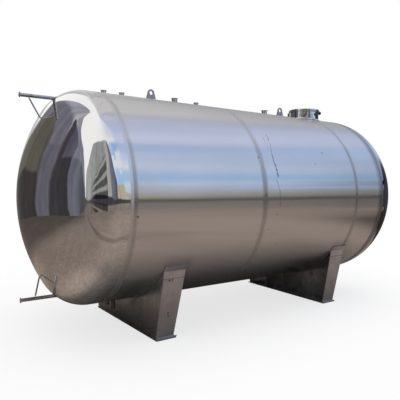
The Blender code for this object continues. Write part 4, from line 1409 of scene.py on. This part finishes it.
def make_sky(world):
    """World that is plain to the camera and a studio of soft panels to the steel."""
    world.use_nodes = True
    world.node_tree.nodes.clear()
    t = Tree(world.node_tree)
    direction = t.add("ShaderNodeTexCoord").outputs["Generated"]
    xyz = t.xyz(direction)
    to_degrees = 180.0 / math.pi
    true_azimuth = t.times(to_degrees, t.math("ARCTAN2", xyz["X"], t.times(xyz["Y"], -1.0)))
    true_elevation = t.times(t.math("ARCSINE", xyz["Z"]), to_degrees)

    # the panels' edges wander a little, but not at the horizon
    free = t.step(t.math("ABSOLUTE", true_elevation), 1.0, 14.0)
    azimuth = t.plus(true_azimuth, t.times(t.minus(t.noise(direction, 3.2, 3.0), 0.5), 4.0))
    elevation = t.plus(true_elevation,
                       t.times(t.minus(t.noise(direction, 4.1, 3.0), 0.5), 4.0, free))

    # bands of sky that climb with azimuth
    climb = t.least(t.most(t.times(t.minus(true_azimuth, 55.0), 0.008), -0.44), 0.52)
    height = t.times(true_elevation, t.plus(climb, 1.0))
    sky = t.ramp(t.over(height, 90.0), [(at / 90.0, tint) for at, tint in SKY_BANDS])

    # other bands over the left end, closed cover further left, pale haze behind
    billow = t.minus(t.noise(t.scaled(direction, (1.0, 1.0, 1.6)), 3.0, 5.0, 0.6), 0.5)
    left_sky = t.ramp(t.over(t.plus(true_elevation, t.times(billow, 34.0)), 90.0),
                      [(at / 90.0, tint) for at, tint in LEFT_SKY_BANDS])
    sky = t.mix(t.step(true_azimuth, 42.0, 22.0), sky, left_sky)
    cover = t.round_azimuth(azimuth, [
        (at, (v, v, v)) for at, v in ((-180, 1.0), (-62, 1.0), (-40, 0.85), (-20, 0.62),
                                      (-4, 0.30), (12, 0.0), (100, 0.0), (146, 0.25),
                                      (172, 1.0))])
    sky = t.mix(cover, sky, rgba((1.20, 1.19, 1.18)))
    high_up = t.step(true_elevation, 24.0, 58.0)
    haze = t.mix(high_up, rgba((0.42, 0.425, 0.45)), rgba((0.80, 0.775, 0.765)))
    streaks = t.step(t.noise(t.vector(azimuth), 0.16, 3.0, 0.6), 0.35, 0.65)
    haze = t.mix(t.times(streaks, high_up), haze, rgba((0.68, 0.68, 0.68)))
    far_side = t.times(t.step(azimuth, 100.0, 122.0), t.step(azimuth, 158.0, 172.0, 1.0, 0.0))
    sky = t.mix(far_side, sky, haze)
    dim = t.times(t.step(azimuth, 97.0, 105.0), t.step(azimuth, 108.0, 118.0, 0.30, 0.0))
    sky = t.mix(dim, sky, rgba((0.30, 0.34, 0.44)))

    # the cards: soft upright folds, and slats that fan out on the card ahead
    folds = t.noise(t.vector(azimuth, t.times(elevation, 0.06)), 0.22, 3.0, 0.6)
    mottle = t.noise(direction, 9.0, 4.0, 0.6)
    shade = t.times(t.step(folds, 0.3, 0.7, 0.84, 1.18), t.step(mottle, 0.3, 0.7, 0.93, 1.07))
    fan = t.over(elevation, t.most(t.plus(azimuth, 90.0), 1.0))
    slat = t.math("PINGPONG", t.minus(fan, 0.09), 0.1025)
    slats = t.times(t.step(slat, 0.045, 0.082, 1.0, 0.0), t.step(azimuth, -78.0, -60.0),
                    t.step(azimuth, -25.0, -23.5, 1.0, 0.0), t.step(fan, 0.60, 0.72, 0.72, 0.0))
    shade = t.times(shade, t.minus(1.0, slats))
    for blur, stops in CARDS:
        top = t.round_azimuth(azimuth, [(at, [high / 135.0 + 1 / 3] * 3) for at, high, _ in stops])
        top = t.minus(t.times(top, 135.0), 45.0)
        tint = t.round_azimuth(azimuth, [(at, tint) for at, _, tint in stops])
        sky = t.mix(t.step(t.minus(elevation, top), -blur, blur, 1.0, 0.0), sky,
                    t.scaled(tint, shade))

    # slim dark card beside the right end
    slim = t.times(band_mask(t, true_azimuth, (66.0, 14.0, 5.0)),
                   band_mask(t, true_elevation, (10.6, 1.8, 0.7)))
    sky = t.mix(slim, sky, rgba((0.012, 0.015, 0.05)))
    seen = t.add("ShaderNodeLightPath").outputs["Is Camera Ray"]
    backdrop = rgba(bpy.context.scene.tank_studio.backdrop)
    background = t.add("ShaderNodeBackground", {"Color": t.mix(seen, sky, backdrop),
                                                "Strength": 1.0})
    t.add("ShaderNodeOutputWorld", {"Surface": background.outputs[0]})


def mirrored_floor(t, where, tone):
    """Stone tone of the floor as the steel mirrors it, with a painted shadow round the tank."""
    stone = t.mix(t.step(t.noise(where, 0.8, 6.0, 0.65), 0.3, 0.7), shaded(tone, 0.88),
                  shaded(tone, 1.10))
    grit = t.step(t.noise(where, 9.0, 6.0, 0.75), 0.38, 0.62)
    stone = t.mix(t.times(grit, 0.45), stone, shaded(tone, 0.50))
    tracks = t.step(t.noise(t.scaled(where, (0.5, 3.2, 1.0)), 1.0, 4.0, 0.6), 0.40, 0.66)
    stone = t.mix(t.times(tracks, 0.30), stone, shaded(tone, 0.62))

    # painted shadow darker towards the tank; darker beyond its left end and its far side; a
    # painted light by the left head's foot
    xyz = t.xyz(where)
    x, y = xyz["X"], xyz["Y"]
    past = t.most(t.minus(t.math("ABSOLUTE", x), 1.9), 0.0)
    near = t.math("SQRT", t.plus(t.math("POWER", t.times(past, 5.0), 2.0),
                                 t.math("POWER", y, 2.0)))
    # painted shadow of the tank on the floor
    close = t.mix(t.step(near, 0.2, 1.6), rgba((0.52, 0.59, 0.61)), rgba((1.06, 1.065, 1.04)))
    behind = t.step(t.minus(y, t.times(x, 0.45)), 2.4, 4.8, 1.0, 0.42)
    foot_of_head = t.vectors("DISTANCE", where, (-2.1, -0.2, 0.0))["Value"]
    # painted light: the floor by the left head's foot is lifted up to 1.8 times
    left_end = t.times(t.step(x, -3.4, -1.9, 0.76, 1.0), t.step(foot_of_head, 0.3, 1.0, 1.8, 1.0))

    # a dark card past the right end, and a strip in front of the tank
    skewed = t.plus(y, t.times(0.20, t.minus(x, 4.0)))
    card = t.times(t.step(x, 3.0, 3.7), t.step(skewed, -3.08, -2.76))
    slanted = t.plus(y, t.times(0.10, x))
    strip = t.times(t.step(t.off(slanted, -2.40), 0.04, 0.22, 0.34, 0.0),
                    t.step(x, -0.3, 0.4, 1.0, 0.0))
    dark = t.minus(1.0, t.times(t.most(card, strip), 0.88))
    return t.scaled(t.scaled(stone, t.times(behind, left_end, dark)), close)


def floor_material():
    """Pale floor to the camera, fading into the backdrop; a stone tone to the steel."""
    material = bpy.data.materials.new("studio_floor")
    material.use_nodes = True
    material.node_tree.nodes.clear()
    t = Tree(material.node_tree)
    studio = bpy.context.scene.tank_studio
    where = t.add("ShaderNodeTexCoord").outputs["Object"]
    fade = t.step(t.vectors("LENGTH", where)["Value"], 1.0, 5.0, 0.74, 1.0)
    pale = t.add("ShaderNodeBsdfDiffuse", {"Color": rgba(studio.floor)}).outputs[0]
    open_air = t.add("ShaderNodeEmission", {"Color": rgba(studio.backdrop)}).outputs[0]
    seen = t.add("ShaderNodeMixShader", {0: fade, 1: pale, 2: open_air}).outputs[0]
    stone = mirrored_floor(t, where, studio.floor_mirrored)
    mirrored = t.add("ShaderNodeBsdfDiffuse", {"Color": stone}).outputs[0]
    ray = t.add("ShaderNodeLightPath").outputs["Is Camera Ray"]
    both = t.add("ShaderNodeMixShader", {0: ray, 1: mirrored, 2: seen})
    t.add("ShaderNodeOutputMaterial", {"Surface": both.outputs[0]})
    return material


class TANK_OT_stage(bpy.types.Operator):
    """Set the camera, the soft surroundings, the floor and the top light"""
    bl_idname = "tank.stage"
    bl_label = "Studio"

    def execute(self, context):
        scene = context.scene
        scene.view_settings.view_transform = "Standard"
        scene.world = bpy.data.worlds.new("studio_sky")
        make_sky(scene.world)
        self.make_camera(scene)

        # the floor is a disc of rings; the panels of the sky go on below its edge
        radii = np.array((0.0, 3.0, 6.0, 9.0))[:, None]
        angle = np.arange(96) * TURN / 96
        points = np.stack((radii * np.cos(angle), radii * np.sin(angle),
                           0 * radii + 0 * angle), -1).reshape(-1, 3)
        points, quads, _ = weld(points, lattice(4, 96, wrap_columns=True))
        quads, triangles = split_quads(quads[:, ::-1])
        mesh = bpy.data.meshes.new("studio_floor")
        mesh.from_pydata(points.tolist(), [], quads.tolist() + triangles.tolist())
        mesh.materials.append(floor_material())
        floor = bpy.data.objects.new("studio_floor", mesh)
        scene.collection.objects.link(floor)

        lamp = bpy.data.lights.new("top_light", "AREA")
        lamp.energy = scene.tank_studio.key
        lamp.shape = "RECTANGLE"
        lamp.size, lamp.size_y = 9.0, 6.0
        light = bpy.data.objects.new("top_light", lamp)
        light.location = (0.0, -1.0, 7.5)
        light.visible_glossy = False
        light.visible_camera = False
        scene.collection.objects.link(light)
        return {"FINISHED"}

    def make_camera(self, scene):
        """Camera at the photograph's place; its three axes come from yaw, pitch, roll."""
        cos_p, sin_p = math.cos(CAMERA_PITCH), math.sin(CAMERA_PITCH)
        cos_y, sin_y = math.cos(CAMERA_YAW), math.sin(CAMERA_YAW)
        ahead = np.array((cos_p * sin_y, cos_p * cos_y, sin_p))
        right = np.array((cos_y, -sin_y, 0.0))
        up = np.cross(right, ahead)
        cos_r, sin_r = math.cos(CAMERA_ROLL), math.sin(CAMERA_ROLL)
        axes = np.stack((right * cos_r + up * sin_r, up * cos_r - right * sin_r, -ahead), 1)
        data = bpy.data.cameras.new("camera")
        data.sensor_width = SENSOR_WIDTH
        data.lens = FOCAL_SHARE * SENSOR_WIDTH
        data.clip_start, data.clip_end = 0.05, 200.0
        camera = bpy.data.objects.new("camera", data)
        camera.matrix_world = Matrix.Translation(CAMERA_AT) @ Matrix(axes.tolist()).to_4x4()
        scene.collection.objects.link(camera)
        scene.camera = camera


class TANK_PT_panel(bpy.types.Panel):
    """Steps that dress the tank, in order"""
    bl_idname = "TANK_PT_panel"
    bl_label = "Storage tank"
    bl_space_type = "VIEW_3D"
    bl_region_type = "UI"
    bl_category = "Tank"

    def draw(self, context):
        for step in STEPS:
            self.layout.operator(step.bl_idname)
        for group in ("tank_sizes", "tank_finish", "tank_studio"):
            values = getattr(context.scene, group)
            box = self.layout.box()
            for key in values.bl_rna.properties.keys():
                if key not in ("rna_type", "name"):
                    box.prop(values, key)


STEPS = (TANK_OT_stage, TANK_OT_heads, TANK_OT_shell, TANK_OT_nozzles, TANK_OT_outlets,
         TANK_OT_lugs, TANK_OT_gauges, TANK_OT_manway, TANK_OT_lid, TANK_OT_saddles,
         TANK_OT_welds)
GROUPS = {"tank_sizes": TankSizes, "tank_finish": TankFinish, "tank_studio": TankStudio}


def register():
    for cls in (*GROUPS.values(), *STEPS, TANK_PT_panel):
        bpy.utils.register_class(cls)
    for key, cls in GROUPS.items():
        setattr(bpy.types.Scene, key, bpy.props.PointerProperty(type=cls))


def unregister():
    for key in GROUPS:
        delattr(bpy.types.Scene, key)
    for cls in reversed((*GROUPS.values(), *STEPS, TANK_PT_panel)):
        bpy.utils.unregister_class(cls)


def main():
    """Register the add-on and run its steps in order."""
    register()
    make_groups()
    for step in STEPS:
        category, name = step.bl_idname.split(".")
        getattr(getattr(bpy.ops, category), name)()


if __name__ == "__main__":
    main()
